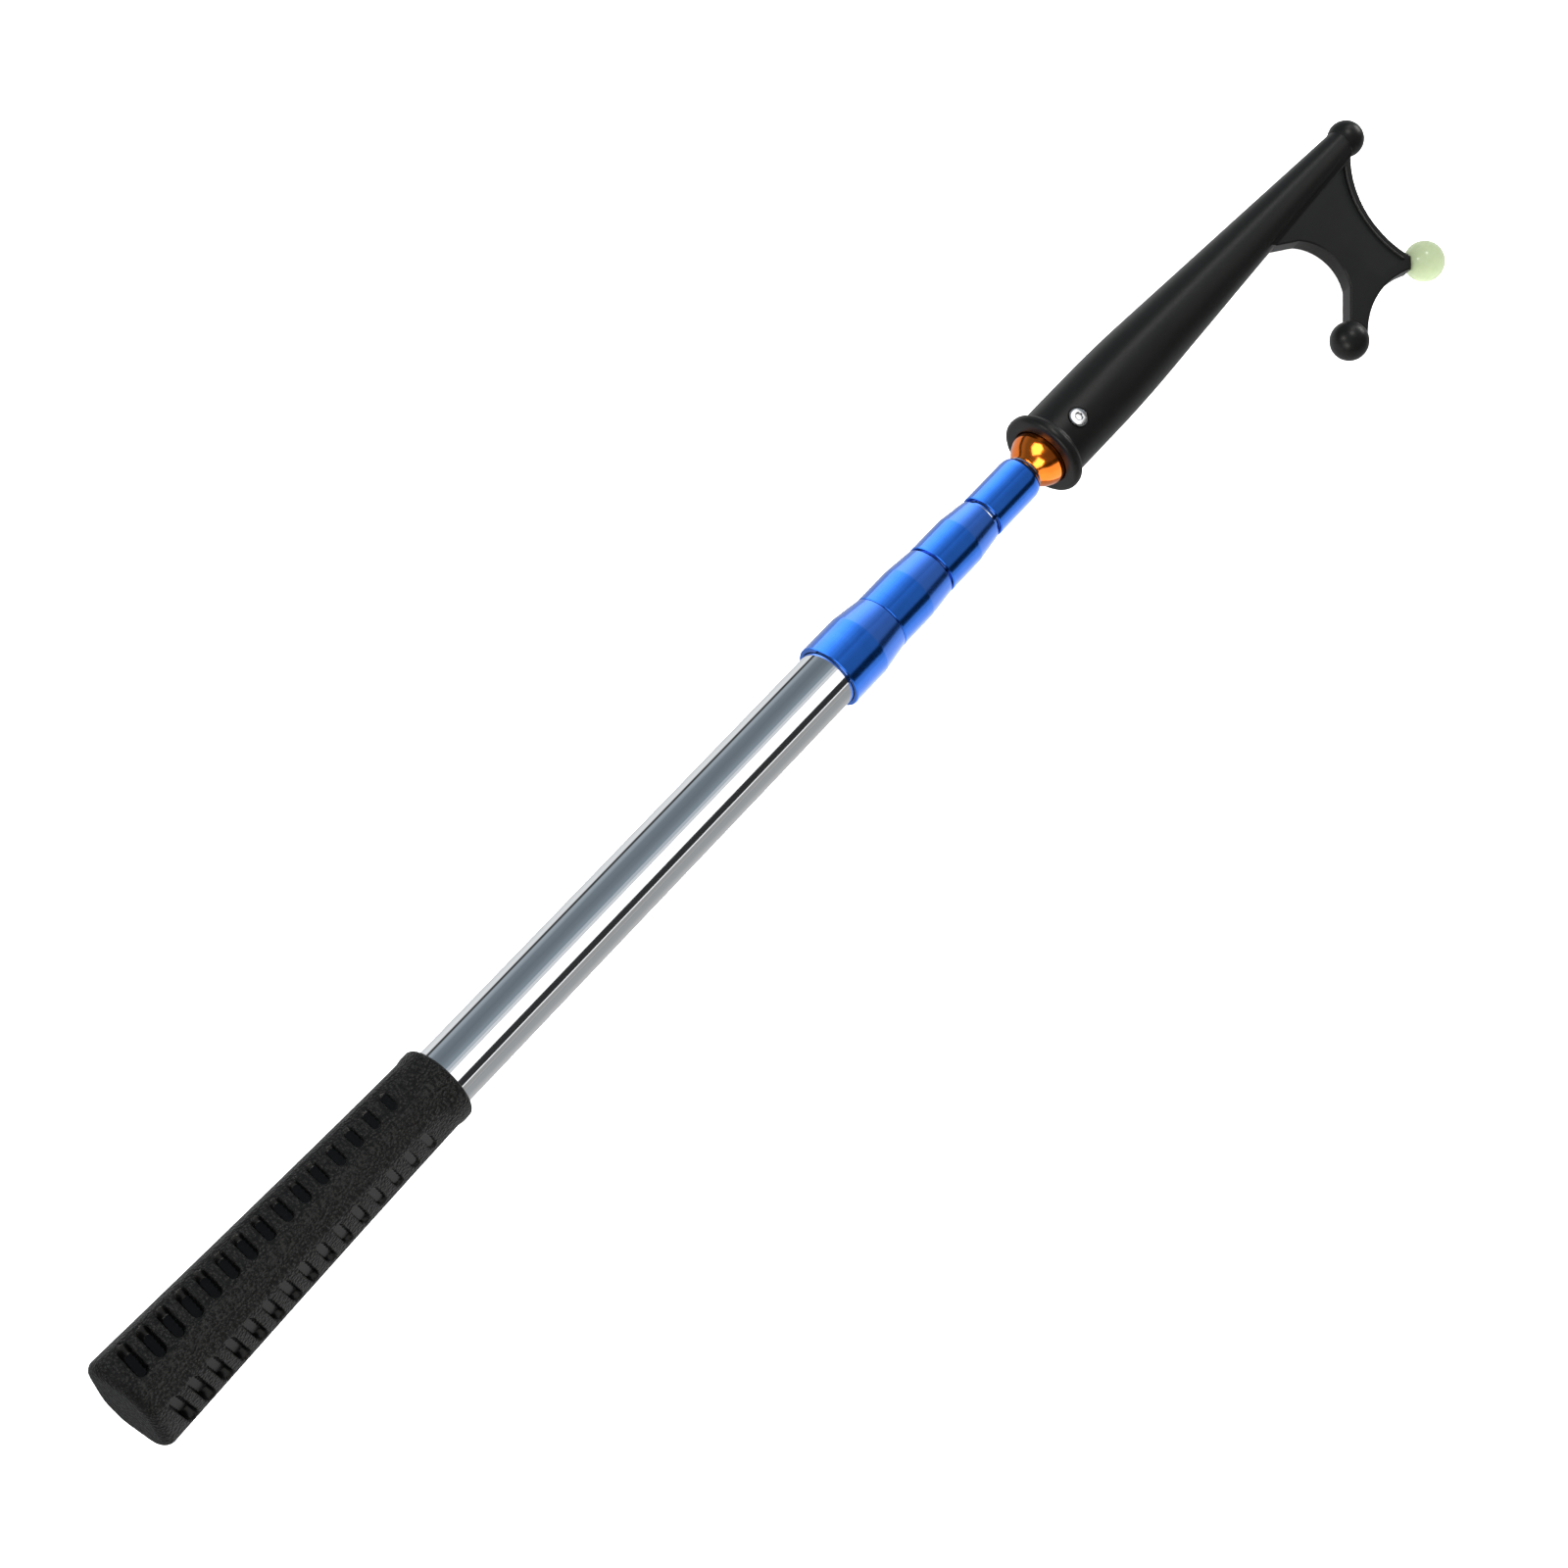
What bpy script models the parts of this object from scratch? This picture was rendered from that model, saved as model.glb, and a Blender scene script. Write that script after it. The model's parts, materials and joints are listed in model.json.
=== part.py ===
"""A telescoping boat hook: four aluminium tubes that slide in each other, three twist locks,
a rubber grip at the butt, and a nylon hook head on a threaded adapter.

The pole lies along +X. The origin is the centre of the butt face, the hook opens towards -X
on the -Y side, and +Z is square to the plane of the hook. All sizes are in metres.
"""

import math

import bpy
import bmesh
from mathutils import Matrix, Vector

MM = 0.001

# ---------------------------------------------------------------- clearances
FIT = 0.3 * MM              # between pieces that are fastened to each other
RUN = 0.3 * MM              # between pieces that turn or slide on each other
LOCK_GAP = 0.06 * MM        # left between a lock ring and its tube at full lock

# ---------------------------------------------------------------- tubes
TUBE_OD = 25.0 * MM                                     # outermost tube
TUBE_WALLS = [1.0 * MM, 0.8 * MM, 0.8 * MM, 0.8 * MM]
TUBE_SLACK = [0.9 * MM, 0.4 * MM, 0.85 * MM]            # bore of one tube to the next tube
EXPOSED_TUBE = 226.0 * MM                               # bare outer tube, grip to collar

# ---------------------------------------------------------------- grip
GRIP_LENGTH = 162.0 * MM
GRIP_END_WALL = 4.0 * MM
GRIP_BUTT_WALL = 7.45 * MM  # rubber over the tube at the butt's smooth bands
GRIP_TOP_WALL = 3.0 * MM
GRIP_LIP = 0.5 * MM         # extra radius of the lip at the top
GRIP_LIP_LENGTH = 6.0 * MM
GRIP_BUTT_ROUND = 7.0 * MM  # how far the butt's rounded edge pulls the radius in
GRIP_BUTT_DEPTH = 3.5 * MM  # length of that rounding along the pole
GRIP_LIP_RAMP = 3.6 * MM    # length over which the lip rises
GRIP_TOP_ROUND = 1.6 * MM
GRIP_FLARE = 1.25           # above 1, the grip swells faster towards the butt
GRIP_WAIST = 0.92           # radius of the four pocketed sides as a share of the bands'
GRIP_BAND = math.radians(16.0)      # half width of each of the four smooth bands
GRIP_ROLL = math.radians(9.0)       # how far the upper band is turned towards the hook

# ---------------------------------------------------------------- collars
COLLAR_WALL = 2.05 * MM
COLLAR_BARRELS = [18.8 * MM, 17.9 * MM, 18.1 * MM]    # straight part of each collar
COLLAR_TAPERS = [13.65 * MM, 13.55 * MM, 13.1 * MM]
COLLAR_GAPS = [0.3 * MM, 1.4 * MM, 2.4 * MM]            # left open between closed stages
COLLAR_LIP = 1.5 * MM       # end wall that keeps the guide bush in
COLLAR_EDGE = 0.5 * MM
COLLAR_MOUTH_WALL = 0.9 * MM
FERRULE_LENGTH = 27.6 * MM
FERRULE_ROUND = 3.0 * MM
FERRULE_END_WALL = 5.0 * MM

# ---------------------------------------------------------------- twist locks
LOCK_TURN = math.radians(45.0)      # twist from free to locked
JOURNAL_OFFSET = 0.5 * MM           # how far the journal stands off the pole's axis
RING_LENGTH = 10.0 * MM
RING_WALL = 2.0 * MM
PLUG_BODY = 14.0 * MM       # part of an end plug that sits inside its tube
PLUG_FLANGE = 2.0 * MM
WASHER_THICKNESS = 1.0 * MM
WASHER_STEP = 1.0 * MM      # how much smaller the washer is than the ring
SCREW_RADIUS = 2.0 * MM
SCREW_HEAD_RADIUS = 3.6 * MM
SCREW_HEAD = 2.4 * MM
SCREW_GRIP = 9.0 * MM       # length of the screw inside the plug
STAGE_SPACE = 3.0 * MM      # free length below each screw head when closed

# ---------------------------------------------------------------- butt plug
BUTT_PLUG_LENGTH = 16.0 * MM

# ---------------------------------------------------------------- thread and adapter
INSERT_LENGTH = 14.0 * MM
INSERT_WALL = 2.3 * MM
SEAL_THICKNESS = 0.8 * MM
SEAL_STEP = 0.6 * MM        # how far the washer shows around the cone's base
STUD_SHOULDER = 3.25 * MM   # the cone's base stands this far out from the stud
CONE_LENGTH = 7.8 * MM
CONE_LAND = 1.0 * MM
ADAPTER_RADIUS = 12.3 * MM
SPIGOT_LENGTH = 44.0 * MM
SPIGOT_WALL = 3.4 * MM
SPIGOT_FLOOR = 10.0 * MM

# ---------------------------------------------------------------- hook head
HEAD_STANDOFF = 2.2 * MM    # the cone's rim stands this far out of the socket
FLANGE_STEP = 2.8 * MM
FLANGE_LENGTH = 4.6 * MM
FLANGE_ROUND = 1.4 * MM
SOCKET_WALL = 2.85 * MM
SOCKET_LENGTH = 53.3 * MM   # flange face to the start of the taper
CONE_END_RADIUS = 6.55 * MM
NOSE_LENGTH = 163.0 * MM    # the tapered part of the head
TIP_BALL_RADIUS = 8.05 * MM
TIP_BALL_SINK = 4.3 * MM    # how far the ball's centre lies past the taper's end
WEB_THICKNESS = 8.2 * MM

# Places on the hook are from the centre of the tip ball, along +X and +Y.
HOOK_BALL = Vector((-74.5, -60.1)) * MM
HOOK_BALL_RADIUS = 8.45 * MM
GLOW_BALL = Vector((-17.7, -60.5)) * MM
GLOW_BALL_RADIUS = 8.9 * MM
BIGHT_CENTRE = Vector((-72.4, -30.9)) * MM
BIGHT_RADIUS = 20.7 * MM
BIGHT_TOP = math.radians(47.0)
BIGHT_BOTTOM = math.radians(-41.0)
BIGHT_MOUTH = Vector((-71.4, -8.2)) * MM
NOSE_CENTRE = Vector((19.1, -42.4)) * MM
NOSE_RADIUS = 44.4 * MM
NOSE_TOP = math.radians(124.0)
NOSE_BOTTOM = math.radians(196.0)
SCALLOP_CENTRE = Vector((-43.7, -93.6)) * MM
SCALLOP_RADIUS = 38.4 * MM
SCALLOP_RIGHT = math.radians(66.0)
SCALLOP_LEFT = math.radians(129.0)
PRONG_END = Vector((-74.5, -58.2)) * MM      # where the prong's upper edge meets its ball
PEG_RADIUS = 2.5 * MM       # peg that holds the luminous ball
PEG_LENGTH = 14.0 * MM
PEG_ROOT = Vector((-39.7, -38.9)) * MM       # the peg's line comes from here, in the web's corner
PEG_PAST = 1.0 * MM         # how far the peg runs past the ball's centre

# ---------------------------------------------------------------- cross screw
CROSS_SCREW_PLACE = 16.3 * MM       # from the flange face
CROSS_HEAD_RADIUS = 4.2 * MM
CROSS_HEAD = 2.0 * MM
CROSS_RECESS = 1.3 * MM
CROSS_SHANK_RADIUS = 2.0 * MM
CROSS_SHANK = 7.0 * MM
HEX_RADIUS = 1.6 * MM
HEX_DEPTH = 1.2 * MM

# ---------------------------------------------------------------- number of sides
TUBE_SIDES = 36
INNER_SIDES = 24
SCREW_SIDES = 16


# ================================================================ helpers
def clear_scene():
    for item in list(bpy.data.objects):
        bpy.data.objects.remove(item, do_unlink=True)


def material(name, colour, roughness, metallic):
    if name in bpy.data.materials:
        return bpy.data.materials[name]
    made = bpy.data.materials.new(name)
    made.use_nodes = True
    shader = made.node_tree.nodes["Principled BSDF"]
    shader.inputs["Base Color"].default_value = (*colour, 1.0)
    shader.inputs["Roughness"].default_value = roughness
    shader.inputs["Metallic"].default_value = metallic
    return made


def silver():
    return material("bright_aluminium", (0.75, 0.76, 0.78), 0.2, 1.0)


def blue():
    return material("blue_anodised", (0.02, 0.12, 0.5), 0.3, 1.0)


def orange():
    return material("orange_anodised", (0.8, 0.22, 0.01), 0.15, 1.0)


def black_rubber():
    return material("black_rubber", (0.02, 0.02, 0.021), 0.65, 0.0)


def black_nylon():
    return material("black_nylon", (0.015, 0.016, 0.016), 0.4, 0.0)


def glow_plastic():
    return material("luminous_plastic", (0.62, 0.76, 0.5), 0.35, 0.0)


def grey_plastic():
    return material("grey_acetal", (0.3, 0.31, 0.32), 0.45, 0.0)


def steel():
    return material("stainless_steel", (0.62, 0.61, 0.6), 0.25, 1.0)


def finish(mesh_data, name, paint, smooth=True):
    """Turns a bmesh into a named object with its faces pointing out."""
    bmesh.ops.recalc_face_normals(mesh_data, faces=mesh_data.faces)
    mesh = bpy.data.meshes.new(name)
    mesh_data.to_mesh(mesh)
    mesh_data.free()
    if smooth:
        mesh.shade_smooth()
        mesh.set_sharp_from_angle(angle=math.radians(35.0))
    mesh.materials.append(paint)
    made = bpy.data.objects.new(name, mesh)
    bpy.context.scene.collection.objects.link(made)
    return made


def lathe(profile, sides, offset=0.0):
    """A bmesh turned about X from (x, radius) points.

    A profile that starts and ends on the axis makes a solid of one skin. Any other profile
    is a closed ring. The whole shape is moved by offset along Z.
    """
    shape = bmesh.new()
    rings = []
    for x, radius in profile:
        if radius <= 0.0:
            rings.append([shape.verts.new((x, 0.0, offset))])
            continue
        ring = []
        for side in range(sides):
            turn = math.tau * side / sides
            ring.append(shape.verts.new((x, radius * math.cos(turn), radius * math.sin(turn) + offset)))
        rings.append(ring)
    pairs = list(zip(rings, rings[1:]))
    if len(rings[0]) > 1:
        pairs.append((rings[-1], rings[0]))
    for near, far in pairs:
        bridge(shape, near, far)
    return shape


def bridge(shape, near, far):
    """Faces between two rings, either of which may be one point."""
    count = max(len(near), len(far))
    for side in range(count):
        after = (side + 1) % count
        corners = [near[side % len(near)], near[after % len(near)], far[after % len(far)], far[side % len(far)]]
        shape.faces.new(list(dict.fromkeys(corners)))


def turned(name, profile, sides, paint, at=0.0):
    """A turned piece whose profile is measured from its own place on the pole's axis."""
    made = finish(lathe(profile, sides), name, paint)
    made.location = (at, 0.0, 0.0)
    return made


def helper(mesh_data, name):
    """A guide object that takes part in a Boolean and isn't part of the model."""
    made = finish(mesh_data, name, black_nylon())
    made.hide_render = True
    made.display_type = "WIRE"
    return made


def combine(target, other, operation):
    modifier = target.modifiers.new(f"{operation.lower()}_{other.name}", "BOOLEAN")
    modifier.operation = operation
    modifier.solver = "EXACT"
    modifier.object = other


def arc(centre, radius, start, end, steps):
    """Points of an arc in the plane of the hook."""
    turns = [start + (end - start) * step / steps for step in range(steps + 1)]
    return [centre + radius * Vector((math.cos(turn), math.sin(turn))) for turn in turns]


def cylinder(start, end, radius, sides):
    """A bmesh cylinder between two points."""
    shape = bmesh.new()
    start = Vector(start)
    end = Vector(end)
    along = end - start
    bmesh.ops.create_cone(
        shape, cap_ends=True, segments=sides, radius1=radius, radius2=radius, depth=along.length
    )
    turn = Vector((0.0, 0.0, 1.0)).rotation_difference(along).to_matrix().to_4x4()
    place = Matrix.Translation((start + end) / 2)
    bmesh.ops.transform(shape, matrix=place @ turn, verts=shape.verts)
    return shape


def ball(centre, radius, sides):
    shape = bmesh.new()
    bmesh.ops.create_uvsphere(shape, u_segments=sides, v_segments=sides // 2, radius=radius)
    bmesh.ops.transform(shape, matrix=Matrix.Translation(centre), verts=shape.verts)
    return shape


# ================================================================ sizes that follow
def tube_radii():
    """Outer radius of each tube, from the outermost in."""
    radii = [TUBE_OD / 2]
    for wall, slack in zip(TUBE_WALLS, TUBE_SLACK):
        radii.append(radii[-1] - wall - slack)
    return radii


def collar_places():
    """Where each collar and the ferrule start along the pole."""
    places = [GRIP_LENGTH + EXPOSED_TUBE]
    for barrel, taper, gap in zip(COLLAR_BARRELS, COLLAR_TAPERS, COLLAR_GAPS):
        places.append(places[-1] + barrel + taper + gap)
    return places


TUBE_R = tube_radii()
TUBE_BORE = [radius - wall for radius, wall in zip(TUBE_R, TUBE_WALLS)]
GRIP_BUTT_RADIUS = TUBE_R[0] + GRIP_BUTT_WALL
GRIP_TOP_RADIUS = TUBE_R[0] + GRIP_TOP_WALL
COLLAR_X = collar_places()
OUTER_TUBE_X = GRIP_END_WALL + FIT
LOCK_LENGTH = SCREW_HEAD + WASHER_THICKNESS + RING_LENGTH + PLUG_FLANGE + 3 * RUN
FERRULE_END_X = COLLAR_X[3] + FERRULE_LENGTH
SEAL_X = FERRULE_END_X + FIT
ADAPTER_X = SEAL_X + SEAL_THICKNESS + FIT
FLANGE_X = ADAPTER_X + CONE_LENGTH + HEAD_STANDOFF
SOCKET_BORE = ADAPTER_RADIUS + FIT
SOCKET_RADIUS = SOCKET_BORE + SOCKET_WALL
FLANGE_RADIUS = SOCKET_RADIUS + FLANGE_STEP
SPIGOT_END_X = FLANGE_X + SPIGOT_LENGTH
INSERT_RADIUS = TUBE_BORE[3] - FIT
STUD_RADIUS = INSERT_RADIUS - INSERT_WALL - FIT
CONE_BASE_RADIUS = STUD_RADIUS + STUD_SHOULDER
SEAL_RADIUS = CONE_BASE_RADIUS + SEAL_STEP
NOSE_X = FLANGE_X + SOCKET_LENGTH
TIP_X = NOSE_X + NOSE_LENGTH + TIP_BALL_SINK


def tube_starts():
    """Where each tube's lower end lies when the pole is closed."""
    starts = [OUTER_TUBE_X]
    starts.append(starts[0] + BUTT_PLUG_LENGTH + STAGE_SPACE + LOCK_LENGTH)
    for _ in range(2):
        starts.append(starts[-1] + PLUG_BODY + STAGE_SPACE + LOCK_LENGTH)
    return starts


TUBE_X = tube_starts()


# ================================================================ handle
def grip_radius(x):
    """Radius of the grip's four smooth bands at a distance from the butt."""
    share = max(0.0, 1.0 - x / GRIP_LENGTH)
    radius = GRIP_TOP_RADIUS + (GRIP_BUTT_RADIUS - GRIP_TOP_RADIUS) * share ** GRIP_FLARE
    if x > GRIP_LENGTH - GRIP_LIP_LENGTH:
        radius += GRIP_LIP
    return radius


def grip_ring(shape, x, radius):
    """One rounded square section: four bands, with lower sides between them."""
    ring = []
    for side in range(TUBE_SIDES):
        turn = math.tau * side / TUBE_SIDES
        from_band = abs((turn + math.pi / 4) % (math.pi / 2) - math.pi / 4)
        share = max(0.0, (from_band - GRIP_BAND) / (math.pi / 4 - GRIP_BAND))
        dip = (1.0 - GRIP_WAIST) * math.sin(share * math.pi / 2)
        reach = radius * (1.0 - dip)
        angle = turn + GRIP_ROLL
        ring.append(shape.verts.new((x, reach * math.cos(angle), reach * math.sin(angle))))
    return ring


def grip_stations():
    """Distances from the butt, and how far each section is pulled in."""
    stations = []
    for step in range(4):
        turn = step * math.pi / 6
        stations.append((GRIP_BUTT_DEPTH * (1.0 - math.cos(turn)), GRIP_BUTT_ROUND * (1.0 - math.sin(turn))))
    middle = [0.12, 0.3, 0.5, 0.75]
    stations += [(GRIP_LENGTH * share, 0.0) for share in middle]
    lip = GRIP_LENGTH - GRIP_LIP_LENGTH
    stations.append((lip - GRIP_LIP_RAMP / 2, 0.0))
    stations.append((lip + GRIP_LIP_RAMP / 2, 0.0))
    stations.append((GRIP_LENGTH - GRIP_TOP_ROUND, 0.0))
    stations.append((GRIP_LENGTH, GRIP_TOP_ROUND))
    return stations


def rubber_grip():
    """A sleeve closed at the butt, with a smooth bore for the outer tube."""
    shape = bmesh.new()
    rings = []
    for x, pull in grip_stations():
        rings.append(grip_ring(shape, x, grip_radius(x) - pull))
    bore = TUBE_R[0] + FIT
    for x in (GRIP_LENGTH, GRIP_END_WALL):
        ring = []
        for side in range(TUBE_SIDES):
            angle = math.tau * side / TUBE_SIDES + GRIP_ROLL
            ring.append(shape.verts.new((x, bore * math.cos(angle), bore * math.sin(angle))))
        rings.append(ring)
    for near, far in zip(rings, rings[1:]):
        bridge(shape, near, far)
    shape.faces.new(rings[0])
    shape.faces.new(rings[-1])
    finish(shape, "rubber_grip", black_rubber())


def butt_plug():
    """Closes the lower end of the outer tube, inside the grip."""
    radius = TUBE_BORE[0] - FIT
    profile = [(0.0, 0.0), (0.0, radius), (BUTT_PLUG_LENGTH, radius), (BUTT_PLUG_LENGTH, 0.0)]
    turned("butt_plug", profile, TUBE_SIDES, grey_plastic(), OUTER_TUBE_X)


def tube(stage, name):
    """One tube, from its lower end to the shoulder inside its collar or ferrule."""
    if stage < 3:
        top = COLLAR_X[stage] + COLLAR_BARRELS[stage]
    else:
        top = FERRULE_END_X - FERRULE_END_WALL - FIT
    length = top - TUBE_X[stage]
    radius = TUBE_R[stage]
    bore = TUBE_BORE[stage]
    turned(name, [(0.0, bore), (0.0, radius), (length, radius), (length, bore)], TUBE_SIDES, silver(), TUBE_X[stage])


def collar(stage, name):
    """A blue collar on the end of a tube; its taper ends at the next collar's size."""
    radius = TUBE_R[stage] + COLLAR_WALL
    end = TUBE_R[stage + 1] + COLLAR_WALL
    barrel = COLLAR_BARRELS[stage]
    length = barrel + COLLAR_TAPERS[stage]
    seat = TUBE_R[stage] + FIT
    pocket = end - COLLAR_MOUTH_WALL
    mouth = TUBE_R[stage + 1] + RUN
    profile = [
        (0.0, seat),
        (0.0, radius - COLLAR_EDGE),
        (COLLAR_EDGE, radius),
        (barrel, radius),
        (length, end),
        (length, mouth),
        (length - COLLAR_LIP, mouth),
        (length - COLLAR_LIP, pocket),
        (barrel + FIT, pocket),
        (barrel + FIT, seat),
    ]
    turned(name, profile, TUBE_SIDES, blue(), COLLAR_X[stage])


# ================================================================ one twist lock
def guide_bush(stage, name):
    """A plastic liner in a collar's taper. It turns with the tube that slides through it."""
    end = TUBE_R[stage] + COLLAR_WALL
    outer = end - COLLAR_MOUTH_WALL - RUN
    inner = TUBE_R[stage] + RUN
    start = COLLAR_X[stage - 1] + COLLAR_BARRELS[stage - 1] + 2 * FIT
    length = COLLAR_TAPERS[stage - 1] - COLLAR_LIP - 3 * FIT
    turned(name, [(0.0, inner), (0.0, outer), (length, outer), (length, inner)], TUBE_SIDES, grey_plastic(), start)


def lock_sizes(stage):
    """Ring and journal radii for the lock in the tube outside a stage."""
    bore = TUBE_BORE[stage - 1]
    shift = 2 * JOURNAL_OFFSET * math.sin(LOCK_TURN / 2)
    ring = bore - shift - LOCK_GAP
    hole = ring - RING_WALL - JOURNAL_OFFSET
    return ring, hole, hole - RUN


def end_plug(stage, name):
    """Pressed into a tube's lower end, with an off-centre journal for the lock ring."""
    _, _, journal = lock_sizes(stage)
    flange = TUBE_R[stage]
    body = TUBE_BORE[stage] - FIT
    journal_length = RING_LENGTH + 2 * RUN
    front = -FIT - PLUG_FLANGE - journal_length
    flange_x = -FIT - PLUG_FLANGE
    hole = SCREW_RADIUS + FIT
    hole_end = front + SCREW_GRIP + 2 * FIT
    shape = bmesh.new()
    rings = []
    places = [
        (hole_end, hole, 0.0),
        (front, hole, 0.0),
        (front, journal, JOURNAL_OFFSET),
        (flange_x, journal, JOURNAL_OFFSET),
        (flange_x, flange, 0.0),
        (-FIT, flange, 0.0),
        (-FIT, body, 0.0),
        (PLUG_BODY - FIT, body, 0.0),
    ]
    for x, radius, offset in places:
        ring = []
        for side in range(INNER_SIDES):
            turn = math.tau * side / INNER_SIDES
            ring.append(shape.verts.new((x, radius * math.cos(turn), radius * math.sin(turn) + offset)))
        rings.append(ring)
    for near, far in zip(rings, rings[1:]):
        bridge(shape, near, far)
    shape.faces.new(rings[0])
    shape.faces.new(rings[-1])
    made = finish(shape, name, grey_plastic())
    made.location = (TUBE_X[stage], 0.0, 0.0)


def lock_ring(stage, name):
    """The ring that wedges in the outer tube. Its hole is off-centre like the journal."""
    outer, hole, _ = lock_sizes(stage)
    start = -FIT - PLUG_FLANGE - RUN - RING_LENGTH
    shape = bmesh.new()
    rings = []
    for x, radius, offset in (
        (0.0, hole, 0.0),
        (0.0, outer, -JOURNAL_OFFSET),
        (RING_LENGTH, outer, -JOURNAL_OFFSET),
        (RING_LENGTH, hole, 0.0),
    ):
        ring = []
        for side in range(TUBE_SIDES):
            turn = math.tau * side / TUBE_SIDES
            ring.append(shape.verts.new((x, radius * math.cos(turn), radius * math.sin(turn) + offset)))
        rings.append(ring)
    for near, far in zip(rings, rings[1:] + rings[:1]):
        bridge(shape, near, far)
    made = finish(shape, name, grey_plastic())
    made.location = (TUBE_X[stage] + start, 0.0, JOURNAL_OFFSET)


def lock_washer(stage, name):
    outer, _, _ = lock_sizes(stage)
    radius = outer - WASHER_STEP
    hole = SCREW_RADIUS + FIT
    start = -FIT - PLUG_FLANGE - RING_LENGTH - 2 * RUN - FIT - WASHER_THICKNESS
    profile = [(0.0, hole), (0.0, radius), (WASHER_THICKNESS, radius), (WASHER_THICKNESS, hole)]
    turned(name, profile, INNER_SIDES, steel(), TUBE_X[stage] + start)


def lock_screw(stage, name):
    """Holds the washer and ring on the end plug."""
    seat = -FIT - PLUG_FLANGE - RING_LENGTH - 2 * RUN - 2 * FIT - WASHER_THICKNESS
    reach = WASHER_THICKNESS + FIT + SCREW_GRIP
    profile = [
        (-SCREW_HEAD, 0.0),
        (-SCREW_HEAD, SCREW_HEAD_RADIUS * 0.7),
        (-SCREW_HEAD * 0.5, SCREW_HEAD_RADIUS),
        (0.0, SCREW_HEAD_RADIUS),
        (0.0, SCREW_RADIUS),
        (reach, SCREW_RADIUS),
        (reach, 0.0),
    ]
    turned(name, profile, SCREW_SIDES, steel(), TUBE_X[stage] + seat)


def stage_parts(stage):
    """The tube, plug and lock of one inner stage, named from 2 to 4."""
    number = stage + 1
    tube(stage, f"tube_{number}")
    guide_bush(stage, f"guide_bush_{number}")
    end_plug(stage, f"end_plug_{number}")
    lock_ring(stage, f"lock_ring_{number}")
    lock_washer(stage, f"lock_washer_{number}")
    lock_screw(stage, f"lock_screw_{number}")


# ================================================================ tip of the pole
def tip_ferrule():
    """The blue cap on the innermost tube, with a hole for the adapter's stud."""
    radius = TUBE_R[3] + COLLAR_WALL
    seat = TUBE_R[3] + FIT
    hole = STUD_RADIUS + FIT
    profile = [(0.0, seat), (0.0, radius - COLLAR_EDGE), (COLLAR_EDGE, radius)]
    for step in range(4):
        turn = step * math.pi / 6
        profile.append(
            (FERRULE_LENGTH - FERRULE_ROUND * (1 - math.sin(turn)), radius - FERRULE_ROUND * (1 - math.cos(turn)))
        )
    profile += [
        (FERRULE_LENGTH, hole),
        (FERRULE_LENGTH - FERRULE_END_WALL, hole),
        (FERRULE_LENGTH - FERRULE_END_WALL, seat),
    ]
    turned("tip_ferrule", profile, TUBE_SIDES, blue(), COLLAR_X[3])


def thread_insert():
    """The metal nut pressed into the innermost tube. Its thread is left as a plain bore."""
    hole = STUD_RADIUS + FIT
    start = FERRULE_END_X - FERRULE_END_WALL - 2 * FIT - INSERT_LENGTH
    profile = [(0.0, hole), (0.0, INSERT_RADIUS), (INSERT_LENGTH, INSERT_RADIUS), (INSERT_LENGTH, hole)]
    turned("thread_insert", profile, INNER_SIDES, steel(), start)


def seal_washer():
    """The thin bright washer between the ferrule and the adapter."""
    hole = STUD_RADIUS + RUN
    profile = [(0.0, hole), (0.0, SEAL_RADIUS), (SEAL_THICKNESS, SEAL_RADIUS), (SEAL_THICKNESS, hole)]
    turned("seal_washer", profile, TUBE_SIDES, steel(), SEAL_X)


# ================================================================ head
def thread_adapter():
    """Orange adapter: a stud for the pole, a cone, and a hollow spigot for the socket."""
    stud_start = -(FIT + SEAL_THICKNESS + FIT + FERRULE_END_WALL + FIT + INSERT_LENGTH)
    spigot_end = SPIGOT_END_X - ADAPTER_X
    inner = ADAPTER_RADIUS - SPIGOT_WALL
    floor = CONE_LENGTH + CONE_LAND + SPIGOT_FLOOR
    profile = [
        (stud_start, 0.0),
        (stud_start, STUD_RADIUS - COLLAR_EDGE),
        (stud_start + COLLAR_EDGE, STUD_RADIUS),
        (0.0, STUD_RADIUS),
        (0.0, CONE_BASE_RADIUS),
        (CONE_LENGTH - CONE_LAND, ADAPTER_RADIUS - CONE_LAND * 0.3),
        (CONE_LENGTH, ADAPTER_RADIUS),
        (spigot_end - COLLAR_EDGE, ADAPTER_RADIUS),
        (spigot_end, ADAPTER_RADIUS - COLLAR_EDGE),
        (spigot_end, inner),
        (floor, inner),
        (floor, 0.0),
    ]
    adapter = turned("thread_adapter", profile, TUBE_SIDES, orange(), ADAPTER_X)
    screw_x = FLANGE_X + CROSS_SCREW_PLACE
    hole = cylinder(
        (screw_x, 0.0, 0.0), (screw_x, 0.0, SOCKET_RADIUS), CROSS_SHANK_RADIUS + FIT, SCREW_SIDES
    )
    combine(adapter, helper(hole, "adapter_screw_hole"), "DIFFERENCE")


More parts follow.
